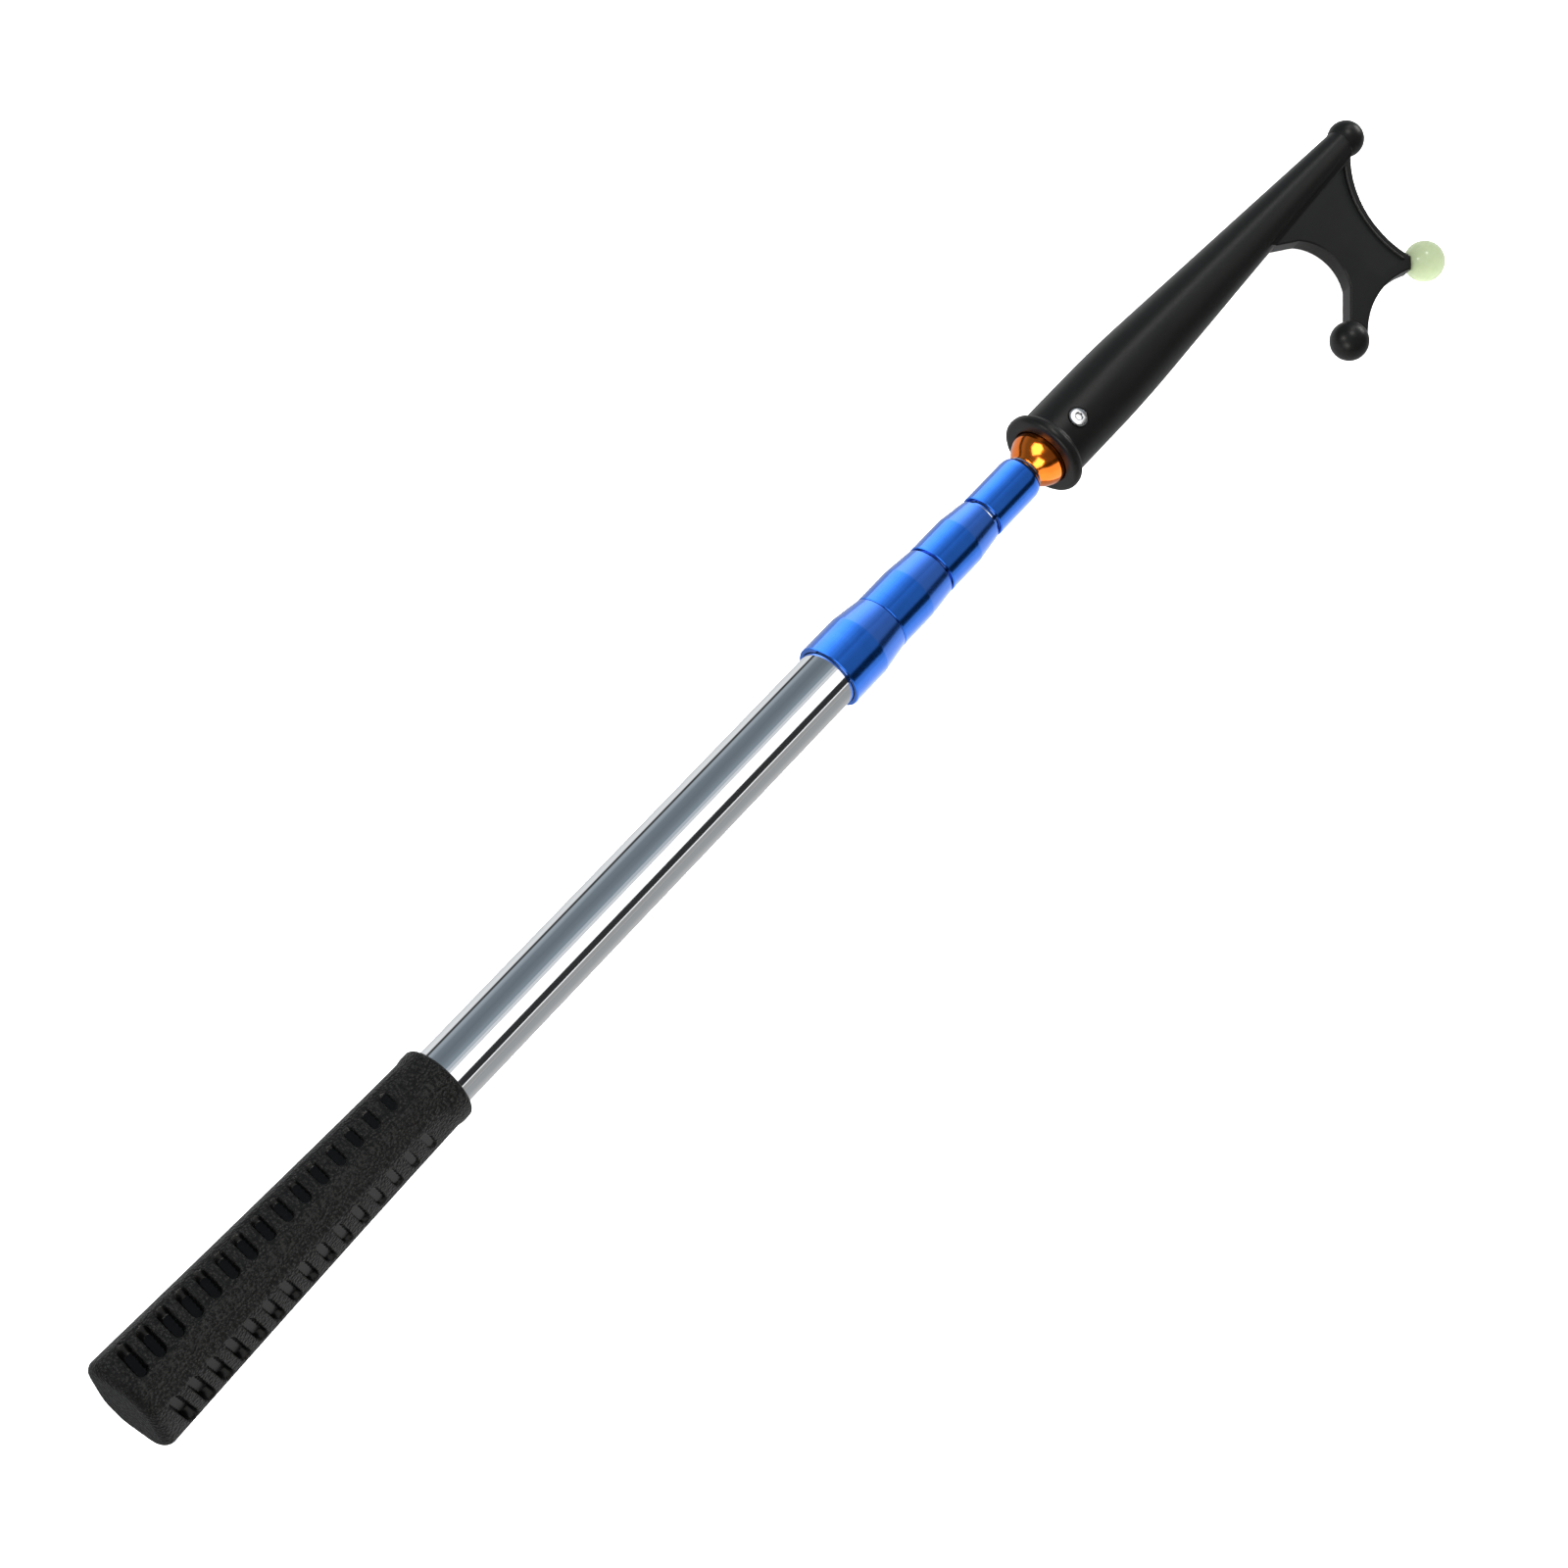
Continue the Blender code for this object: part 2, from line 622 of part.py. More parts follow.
def web_outline():
    """The edge of the flat hook, going round from the cone's underside."""
    tip = Vector((TIP_X, 0.0))
    outline = [tip + BIGHT_MOUTH]
    outline += [tip + point for point in arc(BIGHT_CENTRE, BIGHT_RADIUS, BIGHT_TOP, BIGHT_BOTTOM, 10)]
    outline.append(tip + PRONG_END)
    outline.append(tip + HOOK_BALL)
    outline += [tip + point for point in arc(SCALLOP_CENTRE, SCALLOP_RADIUS, SCALLOP_LEFT, SCALLOP_RIGHT, 8)]
    outline += [tip + point for point in arc(NOSE_CENTRE, NOSE_RADIUS, NOSE_BOTTOM, NOSE_TOP, 10)]
    outline.append(tip + Vector((-CONE_END_RADIUS, 0.0)))
    outline.append(tip + Vector((BIGHT_MOUTH.x, -CONE_END_RADIUS * 0.4)))
    return outline


def hook_web():
    """The flat plate of the hook, before it joins the cone and the balls."""
    shape = bmesh.new()
    lower = []
    upper = []
    for point in web_outline():
        lower.append(shape.verts.new((point.x, point.y, -WEB_THICKNESS / 2)))
        upper.append(shape.verts.new((point.x, point.y, WEB_THICKNESS / 2)))
    shape.faces.new(lower)
    shape.faces.new(upper)
    for index in range(len(lower)):
        after = (index + 1) % len(lower)
        shape.faces.new((lower[index], lower[after], upper[after], upper[index]))
    return shape


def head_profile():
    """The flange, socket and taper of the head, measured along the pole."""
    bore_end = SPIGOT_END_X + FIT
    return [
        (bore_end, 0.0),
        (bore_end, SOCKET_BORE),
        (FLANGE_X, SOCKET_BORE),
        (FLANGE_X, FLANGE_RADIUS - FLANGE_ROUND),
        (FLANGE_X + FLANGE_ROUND, FLANGE_RADIUS),
        (FLANGE_X + FLANGE_LENGTH - FLANGE_ROUND, FLANGE_RADIUS),
        (FLANGE_X + FLANGE_LENGTH, SOCKET_RADIUS),
        (NOSE_X, SOCKET_RADIUS),
        (NOSE_X + NOSE_LENGTH, CONE_END_RADIUS),
        (NOSE_X + NOSE_LENGTH, 0.0),
    ]


def peg_ends():
    """The peg runs from inside the web's corner to just past the luminous ball's centre."""
    centre = Vector((TIP_X + GLOW_BALL.x, GLOW_BALL.y, 0.0))
    root = Vector((TIP_X + PEG_ROOT.x, PEG_ROOT.y, 0.0))
    along = (centre - root).normalized()
    end = centre + along * PEG_PAST
    return end - along * PEG_LENGTH, end, along


def hook_head():
    """One nylon moulding: socket, taper, web, tip ball and hook ball."""
    head = finish(lathe(head_profile(), TUBE_SIDES), "hook_head", black_nylon())
    tip = Vector((TIP_X, 0.0, 0.0))
    hook_centre = Vector((TIP_X + HOOK_BALL.x, HOOK_BALL.y, 0.0))
    glow_centre = Vector((TIP_X + GLOW_BALL.x, GLOW_BALL.y, 0.0))
    combine(head, helper(hook_web(), "web_shape"), "UNION")
    combine(head, helper(ball(tip, TIP_BALL_RADIUS, 20), "tip_ball_shape"), "UNION")
    combine(head, helper(ball(hook_centre, HOOK_BALL_RADIUS, 20), "hook_ball_shape"), "UNION")
    combine(head, helper(ball(glow_centre, GLOW_BALL_RADIUS + FIT, 20), "glow_ball_space"), "DIFFERENCE")
    peg_start, peg_end, _ = peg_ends()
    combine(head, helper(cylinder(peg_start, peg_end, PEG_RADIUS, 12), "peg_shape"), "UNION")
    screw_x = FLANGE_X + CROSS_SCREW_PLACE
    floor = SOCKET_RADIUS - CROSS_RECESS
    recess = cylinder(
        (screw_x, 0.0, floor), (screw_x, 0.0, SOCKET_RADIUS * 1.5), CROSS_HEAD_RADIUS + FIT, INNER_SIDES
    )
    hole = cylinder(
        (screw_x, 0.0, SOCKET_BORE * 0.5), (screw_x, 0.0, SOCKET_RADIUS), CROSS_SHANK_RADIUS + FIT, SCREW_SIDES
    )
    combine(head, helper(recess, "screw_recess"), "DIFFERENCE")
    combine(head, helper(hole, "head_screw_hole"), "DIFFERENCE")


def luminous_ball():
    """The pale ball on the outer corner of the hook, with a blind hole for its peg."""
    centre = Vector((TIP_X + GLOW_BALL.x, GLOW_BALL.y, 0.0))
    made = finish(ball(Vector((0.0, 0.0, 0.0)), GLOW_BALL_RADIUS, 24), "luminous_ball", glow_plastic())
    made.location = centre
    peg_start, peg_end, along = peg_ends()
    hole = cylinder(peg_start, peg_end + along * FIT, PEG_RADIUS + FIT, 12)
    combine(made, helper(hole, "ball_peg_hole"), "DIFFERENCE")


def cross_screw():
    """The socket-head screw that pins the head to the adapter."""
    seat = SOCKET_RADIUS - CROSS_RECESS + FIT
    top = seat + CROSS_HEAD
    tip = seat - CROSS_SHANK
    profile = [
        (top - HEX_DEPTH, 0.0),
        (top - HEX_DEPTH, HEX_RADIUS),
        (top, HEX_RADIUS),
        (top, CROSS_HEAD_RADIUS * 0.75),
        (top - CROSS_HEAD * 0.35, CROSS_HEAD_RADIUS),
        (seat, CROSS_HEAD_RADIUS),
        (seat, CROSS_SHANK_RADIUS),
        (tip, CROSS_SHANK_RADIUS),
        (tip, 0.0),
    ]
    made = finish(lathe(profile, SCREW_SIDES), "cross_screw", steel())
    made.rotation_euler = (0.0, -math.pi / 2, 0.0)
    made.location = (FLANGE_X + CROSS_SCREW_PLACE, 0.0, 0.0)


# ================================================================ the whole object
def build():
    clear_scene()
    rubber_grip()
    butt_plug()
    tube(0, "outer_tube")
    for stage in range(3):
        collar(stage, f"collar_{stage + 1}")
    for stage in range(1, 4):
        stage_parts(stage)
    tip_ferrule()
    thread_insert()
    seal_washer()
    thread_adapter()
    hook_head()
    luminous_ball()
    cross_screw()


build()
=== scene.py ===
# %% [markdown]
# # A telescoping boat hook
# The real thing is a pole of four bright aluminium tubes that slide in each other. A twist
# of a blue collar locks each one. A rubber grip closes the butt, and a black nylon hook with
# a pale luminous ball sits on an orange adapter at the tip. The working model already has
# every piece at its size, as plain faceted solids. This lesson loads it and gives the pieces
# that show their fine shapes and their finishes, without moving anything.

# %% Load the frame
import json
import math

import bmesh
import bpy
import numpy as np
from mathutils import Matrix, Vector


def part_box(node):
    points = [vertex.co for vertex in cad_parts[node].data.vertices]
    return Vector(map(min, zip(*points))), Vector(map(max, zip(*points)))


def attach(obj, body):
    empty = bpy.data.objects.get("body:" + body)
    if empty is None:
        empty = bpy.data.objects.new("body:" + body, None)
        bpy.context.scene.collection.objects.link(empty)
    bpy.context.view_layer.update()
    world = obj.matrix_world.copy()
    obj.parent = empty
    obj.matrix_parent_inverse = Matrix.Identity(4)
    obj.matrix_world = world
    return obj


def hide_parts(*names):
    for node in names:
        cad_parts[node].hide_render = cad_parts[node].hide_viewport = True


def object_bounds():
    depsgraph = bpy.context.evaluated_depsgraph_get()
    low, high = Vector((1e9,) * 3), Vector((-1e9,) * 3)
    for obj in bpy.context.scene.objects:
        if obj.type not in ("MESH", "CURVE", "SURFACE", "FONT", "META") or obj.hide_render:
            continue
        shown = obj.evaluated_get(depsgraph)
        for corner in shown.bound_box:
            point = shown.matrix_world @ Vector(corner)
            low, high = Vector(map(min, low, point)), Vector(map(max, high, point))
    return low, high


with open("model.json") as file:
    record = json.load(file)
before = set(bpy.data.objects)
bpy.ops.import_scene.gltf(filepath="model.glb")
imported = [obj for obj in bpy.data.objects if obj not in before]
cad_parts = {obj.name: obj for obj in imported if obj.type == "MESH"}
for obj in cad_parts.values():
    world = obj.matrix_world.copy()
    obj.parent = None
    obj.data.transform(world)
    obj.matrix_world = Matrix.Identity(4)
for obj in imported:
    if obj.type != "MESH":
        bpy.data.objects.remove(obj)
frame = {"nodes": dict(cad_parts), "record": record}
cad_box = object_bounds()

MM = 0.001
ZENITH = Vector((0.0, 0.0, 1.0))
print("nodes in the frame:", len(frame["nodes"]))


# %% [markdown]
# ## Places come from the frame
# A size typed twice drifts apart, so where a piece starts, ends and how thick it is are read
# from its solid's box. Every turned piece lies on the X axis, so its radius is the box's
# height above that axis.

# %% Read places and radii
def start_of(node):
    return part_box(node)[0].x


def end_of(node):
    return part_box(node)[1].x


def radius_of(node):
    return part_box(node)[1].z


def centre_of(node):
    low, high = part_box(node)
    return (low + high) / 2


TUBES = ["outer_tube", "tube_2", "tube_3", "tube_4"]
TUBE_RADII = [radius_of(name) for name in TUBES]
print("tube diameters in mm:", [round(2 * radius / MM, 1) for radius in TUBE_RADII])


# %% [markdown]
# ## Shader maths as arithmetic
# A finish is a small graph of nodes. Wiring it by hand hides the idea, so `Wire` wraps one
# output and lets numbers be added and multiplied with plain operators, and `Graph.add` makes
# any other node from its type, its settings and what its sockets get.

# %% Wire and Graph
def arithmetic(operation, swapped=False):
    """An operator that adds one Math node, with its two sides swapped for a reflected form."""

    def act(self, other):
        first, second = (other, self) if swapped else (self, other)
        return self.graph.maths(operation, first, second)

    return act


class Wire:
    """One output in a node graph. Arithmetic on it adds Math nodes."""

    def __init__(self, graph, socket):
        self.graph = graph
        self.socket = socket

    __add__ = __radd__ = arithmetic("ADD")
    __mul__ = __rmul__ = arithmetic("MULTIPLY")
    __sub__ = arithmetic("SUBTRACT")
    __rsub__ = arithmetic("SUBTRACT", swapped=True)
    __truediv__ = arithmetic("DIVIDE")
    __rtruediv__ = arithmetic("DIVIDE", swapped=True)
    __pow__ = arithmetic("POWER")
    __rpow__ = arithmetic("POWER", swapped=True)


class Graph:
    """The nodes of one material or world."""

    def __init__(self, tree):
        self.tree = tree

    def feed(self, node, values):
        """Gives a node's sockets their numbers, colours or links."""
        for name, value in values.items():
            socket = node.inputs[name]
            if isinstance(value, Wire):
                self.tree.links.new(value.socket, socket)
            elif socket.type == "RGBA":
                socket.default_value = (*value, 1.0)
            else:
                socket.default_value = value

    def add(self, kind, settings=None, values=None, output=0):
        node = self.tree.nodes.new(kind)
        for name, value in (settings or {}).items():
            if name == "stops":
                self.set_stops(node.color_ramp, value)
            else:
                setattr(node, name, value)
        self.feed(node, values or {})
        return Wire(self, node.outputs[output])

    @staticmethod
    def set_stops(ramp, stops):
        while len(ramp.elements) < len(stops):
            ramp.elements.new(1.0)
        for element, (position, colour) in zip(ramp.elements, stops):
            element.position = position
            element.color = (*colour, 1.0)

    def maths(self, operation, first, second):
        return self.add("ShaderNodeMath", {"operation": operation}, {0: first, 1: second})

    def spot(self):
        """Where a point is on its piece, in metres."""
        return self.add("ShaderNodeTexCoord", output=3)

    def stretch(self, vector, scale):
        return self.add("ShaderNodeVectorMath", {"operation": "MULTIPLY"}, {0: vector, 1: scale})

    def axis(self, vector, index):
        return self.add("ShaderNodeSeparateXYZ", None, {0: vector}, output=index)

    def noise(self, vector, scale=1.0, detail=3.0):
        return self.add("ShaderNodeTexNoise", None, {"Vector": vector, "Scale": scale, "Detail": detail})

    def cells(self, vector, scale):
        return self.add("ShaderNodeTexVoronoi", None, {"Vector": vector, "Scale": scale})

    def ramp(self, value, stops):
        return self.add("ShaderNodeValToRGB", {"stops": stops}, {0: value})

    def between(self, value, low, high):
        """A number from 0 to 1 turned into one from low to high."""
        return value * (high - low) + low

    def mix(self, factor, first, second):
        values = {0: factor, 6: first, 7: second}
        return self.add("ShaderNodeMix", {"data_type": "RGBA"}, values, output=2)

    def bump(self, height, strength, distance):
        values = {"Height": height, "Strength": strength, "Distance": distance}
        return self.add("ShaderNodeBump", None, values)

    def finish(self, colour, rough, normal, others=None):
        """Feeds what changes over the surface and gives the finished material."""
        values = {"Base Color": colour, "Roughness": rough, "Normal": normal}
        self.feed(self.shader, {**values, **(others or {})})
        return self.material


def new_finish(name, constants):
    """A material with a Principled shader, whose constant sockets are set straight away."""
    material = bpy.data.materials.new(name)
    material.use_nodes = True
    graph = Graph(material.node_tree)
    graph.shader = material.node_tree.nodes["Principled BSDF"]
    graph.feed(graph.shader, constants)
    graph.material = material
    return graph


print("reflected operators:", ", ".join(name for name in vars(Wire) if name.startswith("__r")))


# %% [markdown]
# ## Drawn aluminium
# The tubes are drawn through a die and then polished, so they mirror the studio along their
# length, with hair-fine lines that run the same way. Noise squeezed across the tube and
# stretched along it makes those lines. They feed roughness, a breath of colour and a very
# low bump. An image texture would show its repeats on so long a piece.

# %% Bright tube finish
def bright_tube():
    paint = new_finish("bright_drawn_aluminium", {"Metallic": 1.0, "IOR": 1.5})
    spot = paint.spot()
    lines = paint.noise(paint.stretch(spot, (9.0, 2600.0, 2600.0)), detail=4.0)
    bands = paint.noise(paint.stretch(spot, (2.0, 420.0, 420.0)), detail=2.0)
    smears = paint.noise(spot, 45.0)
    colour = paint.mix(lines * 0.6 + bands * 0.4, (0.80, 0.815, 0.83), (0.95, 0.955, 0.96))
    rough = paint.between(lines, 0.01, 0.07) + smears * 0.03
    normal = paint.bump(lines + bands, 0.05, 0.00002)
    return paint.finish(colour, rough, normal)


# %% [markdown]
# ## Blue anodising
# Anodising dyes the oxide skin of the aluminium, so the metal under it gives the shine and
# the dye gives the colour. A metallic shader with a saturated blue does both, and a light
# clear coat adds the paler glint at glancing angles. The collars were turned on a lathe:
# fine rings run round them, so this noise is squeezed along the pole. Their tapers were cut
# last and look paler and duller, which an attribute called taper, on those faces, gives.

# %% Blue finish
def blue_anodised():
    fixed = {"Metallic": 1.0, "Coat Roughness": 0.12, "Coat IOR": 1.5}
    paint = new_finish("blue_anodised", fixed)
    spot = paint.spot()
    taper = paint.add("ShaderNodeAttribute", {"attribute_name": "taper"}, output=2)
    rings = paint.noise(paint.stretch(spot, (5200.0, 60.0, 60.0)), detail=3.0)
    clouds = paint.noise(spot, 120.0)
    colour = paint.mix(clouds * 0.5 + rings * 0.5, (0.004, 0.110, 0.53), (0.014, 0.175, 0.80))
    colour = paint.mix(taper * 0.5, colour, (0.060, 0.180, 0.66))
    rough = paint.between(rings, 0.13, 0.21) + clouds * 0.04 + taper * 0.04
    normal = paint.bump(rings, 0.12, 0.00003)
    coat = paint.between(clouds, 0.45, 0.60)
    return paint.finish(colour, rough, normal, {"Coat Weight": coat})


# %% [markdown]
# ## Orange anodising
# The adapter has the same kind of skin, dyed orange over a brighter polish, so its rings are
# finer and its highlights are nearly yellow.

# %% Orange finish
def orange_anodised():
    fixed = {"Metallic": 1.0, "Coat Roughness": 0.05, "Coat IOR": 1.5}
    paint = new_finish("orange_anodised", fixed)
    spot = paint.spot()
    rings = paint.noise(paint.stretch(spot, (6500.0, 80.0, 80.0)), detail=2.0)
    clouds = paint.noise(spot, 200.0)
    colour = paint.mix(clouds, (0.90, 0.165, 0.008), (1.0, 0.25, 0.018))
    rough = paint.between(rings, 0.11, 0.20)
    normal = paint.bump(rings, 0.05, 0.00002)
    coat = paint.between(clouds, 0.25, 0.4)
    return paint.finish(colour, rough, normal, {"Coat Weight": coat})


# %% [markdown]
# ## Pebbled rubber
# The grip's mould was etched with a leather grain: low round pebbles about a millimetre
# apart. Their tops are painted lighter and the hollows between them darker, a painted
# highlight and shade that stand in for the light on each pebble. Real pebbles would need
# millions of faces, and at this size the eye only reads their shading, so a Voronoi texture
# raises them as bump. The floors of the pockets were left smooth, so an attribute called
# grain, which the mesh brings with it, fades the pebbles out there. Above 1 it marks the
# coarse end face, which is duller and whose colour is pulled darker again, a painted shade
# that holds back the stronger pebble highlight there.

# %% Rubber finish
def pebbled_rubber():
    fixed = {"Specular IOR Level": 0.27, "Specular Tint": (1.0, 0.97, 0.93)}
    paint = new_finish("pebbled_rubber", fixed)
    spot = paint.spot()
    grain = paint.add("ShaderNodeAttribute", {"attribute_name": "grain"}, output=2)
    pebbles = (1.0 - paint.cells(spot, 900.0)) ** 2.0
    fine = paint.noise(spot, 5200.0, 2.0)
    wear = paint.noise(spot, 60.0, 5.0)
    height = pebbles * grain + fine * (grain * 0.08 + 0.02)
    # Painted shade: on the end face, where grain is above 1, the colour is pulled darker to hold back the
    # stronger painted pebble highlight.
    end_face_painted_dimming = grain * (grain - 1.0)
    # Painted highlight on the pebble tops and painted shade between them, plus a random wear tone.
    painted_pebble_sheen_and_wear = pebbles * grain * 0.8 + wear * 0.2 - end_face_painted_dimming * 0.4
    colour = paint.mix(painted_pebble_sheen_and_wear, (0.0004, 0.0004, 0.0004), (0.0068, 0.0068, 0.0066))
    rough = paint.between(wear, 0.20, 0.28) + grain * 0.24 - pebbles * grain * 0.16
    normal = paint.bump(height, 1.0, 0.0006)
    return paint.finish(colour, rough, normal)


# %% [markdown]
# ## Moulded nylon
# The hook is glass-filled nylon from a mould with a fine spark finish: black, half glossy,
# with a slight orange peel. Two noises of different sizes make the peel, and a slower one
# shifts the gloss as the flow of the plastic does.

# %% Nylon finish
def black_nylon():
    fixed = {"Specular IOR Level": 0.31, "Specular Tint": (1.0, 0.965, 0.925)}
    paint = new_finish("black_nylon", fixed)
    spot = paint.spot()
    peel = paint.noise(spot, 1500.0, 2.0)
    spark = paint.noise(spot, 6000.0, 2.0)
    flow = paint.noise(paint.stretch(spot, (18.0, 60.0, 60.0)), 1.0, 4.0)
    colour = paint.mix(flow, (0.0024, 0.0025, 0.0024), (0.0042, 0.0044, 0.0042))
    rough = paint.between(flow, 0.30, 0.38) + spark * 0.04
    normal = paint.bump(peel * 0.7 + spark * 0.3, 0.22, 0.00006)
    return paint.finish(colour, rough, normal)


# %% [markdown]
# ## Luminous plastic
# The pale green ball is plastic loaded with a powder that glows after dark. In daylight it
# is milky: light enters and spreads a little, which subsurface scattering gives, and the
# powder clouds it slightly.

# %% Luminous finish
def luminous_plastic():
    fixed = {
        "Subsurface Weight": 0.25,
        "Subsurface Radius": (0.9, 1.0, 0.6),
        "Subsurface Scale": 0.003,
        "Coat Weight": 0.2,
    }
    paint = new_finish("luminous_plastic", fixed)
    spot = paint.spot()
    powder = paint.noise(spot, 900.0, 4.0)
    clouds = paint.noise(spot, 140.0, 2.0)
    colour = paint.mix(powder * 0.4 + clouds * 0.6, (0.32, 0.39, 0.22), (0.42, 0.48, 0.31))
    rough = paint.between(clouds, 0.14, 0.22)
    normal = paint.bump(powder, 0.05, 0.00005)
    return paint.finish(colour, rough, normal)


# %% [markdown]
# ## Steel and acetal
# Screws, washers and the thread insert are stainless steel straight from the machine. The
# plugs, bushes and lock rings inside the pole are grey acetal, which is waxy, with faint
# flow marks. None of them is seen until the pole is taken apart, but each keeps its finish.

# %% Steel and acetal finishes
def machined_steel():
    paint = new_finish("machined_steel", {"Metallic": 1.0})
    spot = paint.spot()
    marks = paint.noise(paint.stretch(spot, (3800.0, 3800.0, 300.0)), detail=3.0)
    stain = paint.noise(spot, 300.0)
    colour = paint.mix(stain, (0.58, 0.575, 0.57), (0.74, 0.735, 0.73))
    rough = paint.between(marks, 0.12, 0.26)
    normal = paint.bump(marks, 0.08, 0.00003)
    return paint.finish(colour, rough, normal)


def grey_acetal():
    paint = new_finish("grey_acetal", {"Specular IOR Level": 0.5})
    spot = paint.spot()
    flow = paint.noise(paint.stretch(spot, (60.0, 200.0, 200.0)), detail=4.0)
    wax = paint.noise(spot, 2400.0)
    colour = paint.mix(flow, (0.25, 0.26, 0.27), (0.35, 0.36, 0.37))
    rough = paint.between(flow, 0.38, 0.5)
    normal = paint.bump(wax, 0.1, 0.00004)
    return paint.finish(colour, rough, normal)


FINISHES = {
    "bright_tube": bright_tube(),
    "blue_anodised": blue_anodised(),
    "orange_anodised": orange_anodised(),
    "grip_rubber": pebbled_rubber(),
    "black_nylon": black_nylon(),
    "luminous_plastic": luminous_plastic(),
    "steel": machined_steel(),
    "grey_acetal": grey_acetal(),
}
print("finishes:", ", ".join(FINISHES))


# %% [markdown]
# ## Turning a piece
# Nearly everything on a pole comes off a lathe: a profile of (x, radius) corners, spun about
# X. Sharp corners look like paper, because real edges catch light on a tiny round. So
# `rounded` replaces each corner with a short curve of its own size, and `lathe` spins the
# result. A Bevel modifier could round the edges too, but it gives all of them one width.

# %% Profiles and the lathe
SIDES = 128


def rounded(corners, steps=5):
    """Profile points from (x, radius, round) corners."""
    points = []
    for index, (x, radius, soft) in enumerate(corners):
        corner = Vector((x, radius))
        before = Vector(corners[index - 1][:2]) - corner
        after = Vector(corners[(index + 1) % len(corners)][:2]) - corner
        if soft == 0.0:
            points.append(corner)
            continue
        first = corner + before.normalized() * min(soft, before.length * 0.5)
        last = corner + after.normalized() * min(soft, after.length * 0.5)
        for step in range(steps + 1):
            share = step / steps
            points.append(first * (1 - share) ** 2 + corner * 2 * share * (1 - share) + last * share**2)
    return points


def divided(points, longest):
    """The same profile with no stretch longer than a limit."""
    result = [points[0]]
    for near, far in zip(points, points[1:]):
        count = max(1, math.ceil((far - near).length / longest))
        for step in range(count):
            result.append(near.lerp(far, (step + 1) / count))
    return result


def bridge(shape, near, far):
    """Faces between two rings, either of which may be one point."""
    count = max(len(near), len(far))
    for side in range(count):
        after = (side + 1) % count
        corners = [near[side % len(near)], near[after % len(near)]]
        corners += [far[after % len(far)], far[side % len(far)]]
        shape.faces.new(list(dict.fromkeys(corners)))


def skin(shape, rings):
    """Faces between neighbouring rings, and a cap at both ends."""
    for near, far in zip(rings, rings[1:]):
        bridge(shape, near, far)
    shape.faces.new(rings[0])
    shape.faces.new(rings[-1])
    return shape


def lathe(points, sides=SIDES):
    """A bmesh spun about X. A profile from axis to axis is solid, and any other is a ring."""
    shape = bmesh.new()
    rings = []
    for x, radius in points:
        if radius <= 0.0:
            rings.append([shape.verts.new((x, 0.0, 0.0))])
            continue
        ring = []
        for side in range(sides):
            turn = math.tau * side / sides
            ring.append(shape.verts.new((x, radius * math.cos(turn), radius * math.sin(turn))))
        rings.append(ring)
    pairs = list(zip(rings, rings[1:]))
    if len(rings[0]) > 1:
        pairs.append((rings[-1], rings[0]))
    for near, far in pairs:
        bridge(shape, near, far)
    return shape


# %% [markdown]
# ## From mesh to piece
# Each finished mesh becomes an object that stands for its plain solid, rides on the same
# body and takes its finish from the record's slot. A Weighted Normal modifier keeps the long
# smooth faces true where they meet the small rounds.

# %% Make a piece
SHARP = math.radians(32.0)
record = frame["record"]
bodies_of = {node: name for name, nodes in record["behaviour"]["bodies"].items() for node in nodes}
slot_of = {subpart["node"]: subpart["material_slot"] for subpart in record["subparts"]}


def place(data, name):
    """An object in the scene for a mesh, a light or a camera."""
    made = bpy.data.objects.new(name, data)
    bpy.context.scene.collection.objects.link(made)
    return made


def solid(shape, name):
    """An object made from a bmesh."""
    bmesh.ops.recalc_face_normals(shape, faces=shape.faces)
    mesh = bpy.data.meshes.new(name)
    shape.to_mesh(mesh)
    shape.free()
    return place(mesh, name)


def give_finish(made, node):
    """Gives an object the finish of its node's slot."""
    made.data.materials.clear()
    made.data.materials.append(FINISHES[slot_of[node]])


def piece(made, node):
    """Finishes an object that stands for one solid."""
    give_finish(made, node)
    made.data.shade_smooth()
    made.data.set_sharp_from_angle(angle=SHARP)
    normals = made.modifiers.new("true_faces", "WEIGHTED_NORMAL")
    normals.keep_sharp = True
    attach(made, bodies_of[node])
    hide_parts(node)
    print(f"{made.name}: {len(made.data.polygons)} faces, for {node} on {bodies_of[node]}")
    return made


def turned_piece(name, corners, node, at=0.0):
    """A lathe-turned piece whose corners are measured from its own place on the pole."""
    points = [Vector((at + x, radius)) for x, radius in rounded(corners)]
    return piece(solid(lathe(points), name), node)


# %% [markdown]
# ## Four tubes
# Each tube is a plain sleeve with a wall of about a millimetre and broken edges. The lower
# ends stay hidden in the next tube, but the bores are there, because they show when a stage
# is drawn out of its collar.

# %% The tubes
TUBE_WALLS = [1.0 * MM, 0.8 * MM, 0.8 * MM, 0.8 * MM]
TUBE_NAMES = ["handle_tube", "first_drawn_tube", "second_drawn_tube", "third_drawn_tube"]
BROKEN_EDGE = 0.2 * MM


def sleeve(name, node, bore, inner=BROKEN_EDGE, outer=BROKEN_EDGE):
    """A plain ring as long and as thick as its solid, with its edges rounded."""
    start = start_of(node)
    end = end_of(node)
    radius = radius_of(node)
    corners = [(start, bore, inner), (start, radius, outer), (end, radius, outer), (end, bore, inner)]
    return turned_piece(name, corners, node)


TUBE_BORES = [radius - wall for radius, wall in zip(TUBE_RADII, TUBE_WALLS)]
tubes = [sleeve(name, node, bore) for name, node, bore in zip(TUBE_NAMES, TUBES, TUBE_BORES)]


# %% [markdown]
# ## Blue collars
# A collar is glued to the end of its tube. It is a straight barrel, then a cone down to the
# size of the next collar, so the closed pole steps down smoothly. Its mouth has an end wall
# that keeps the guide bush in. Here only the rounds matter: a chamfer that catches the light
# at the lower edge, and a soft break where the cone starts.

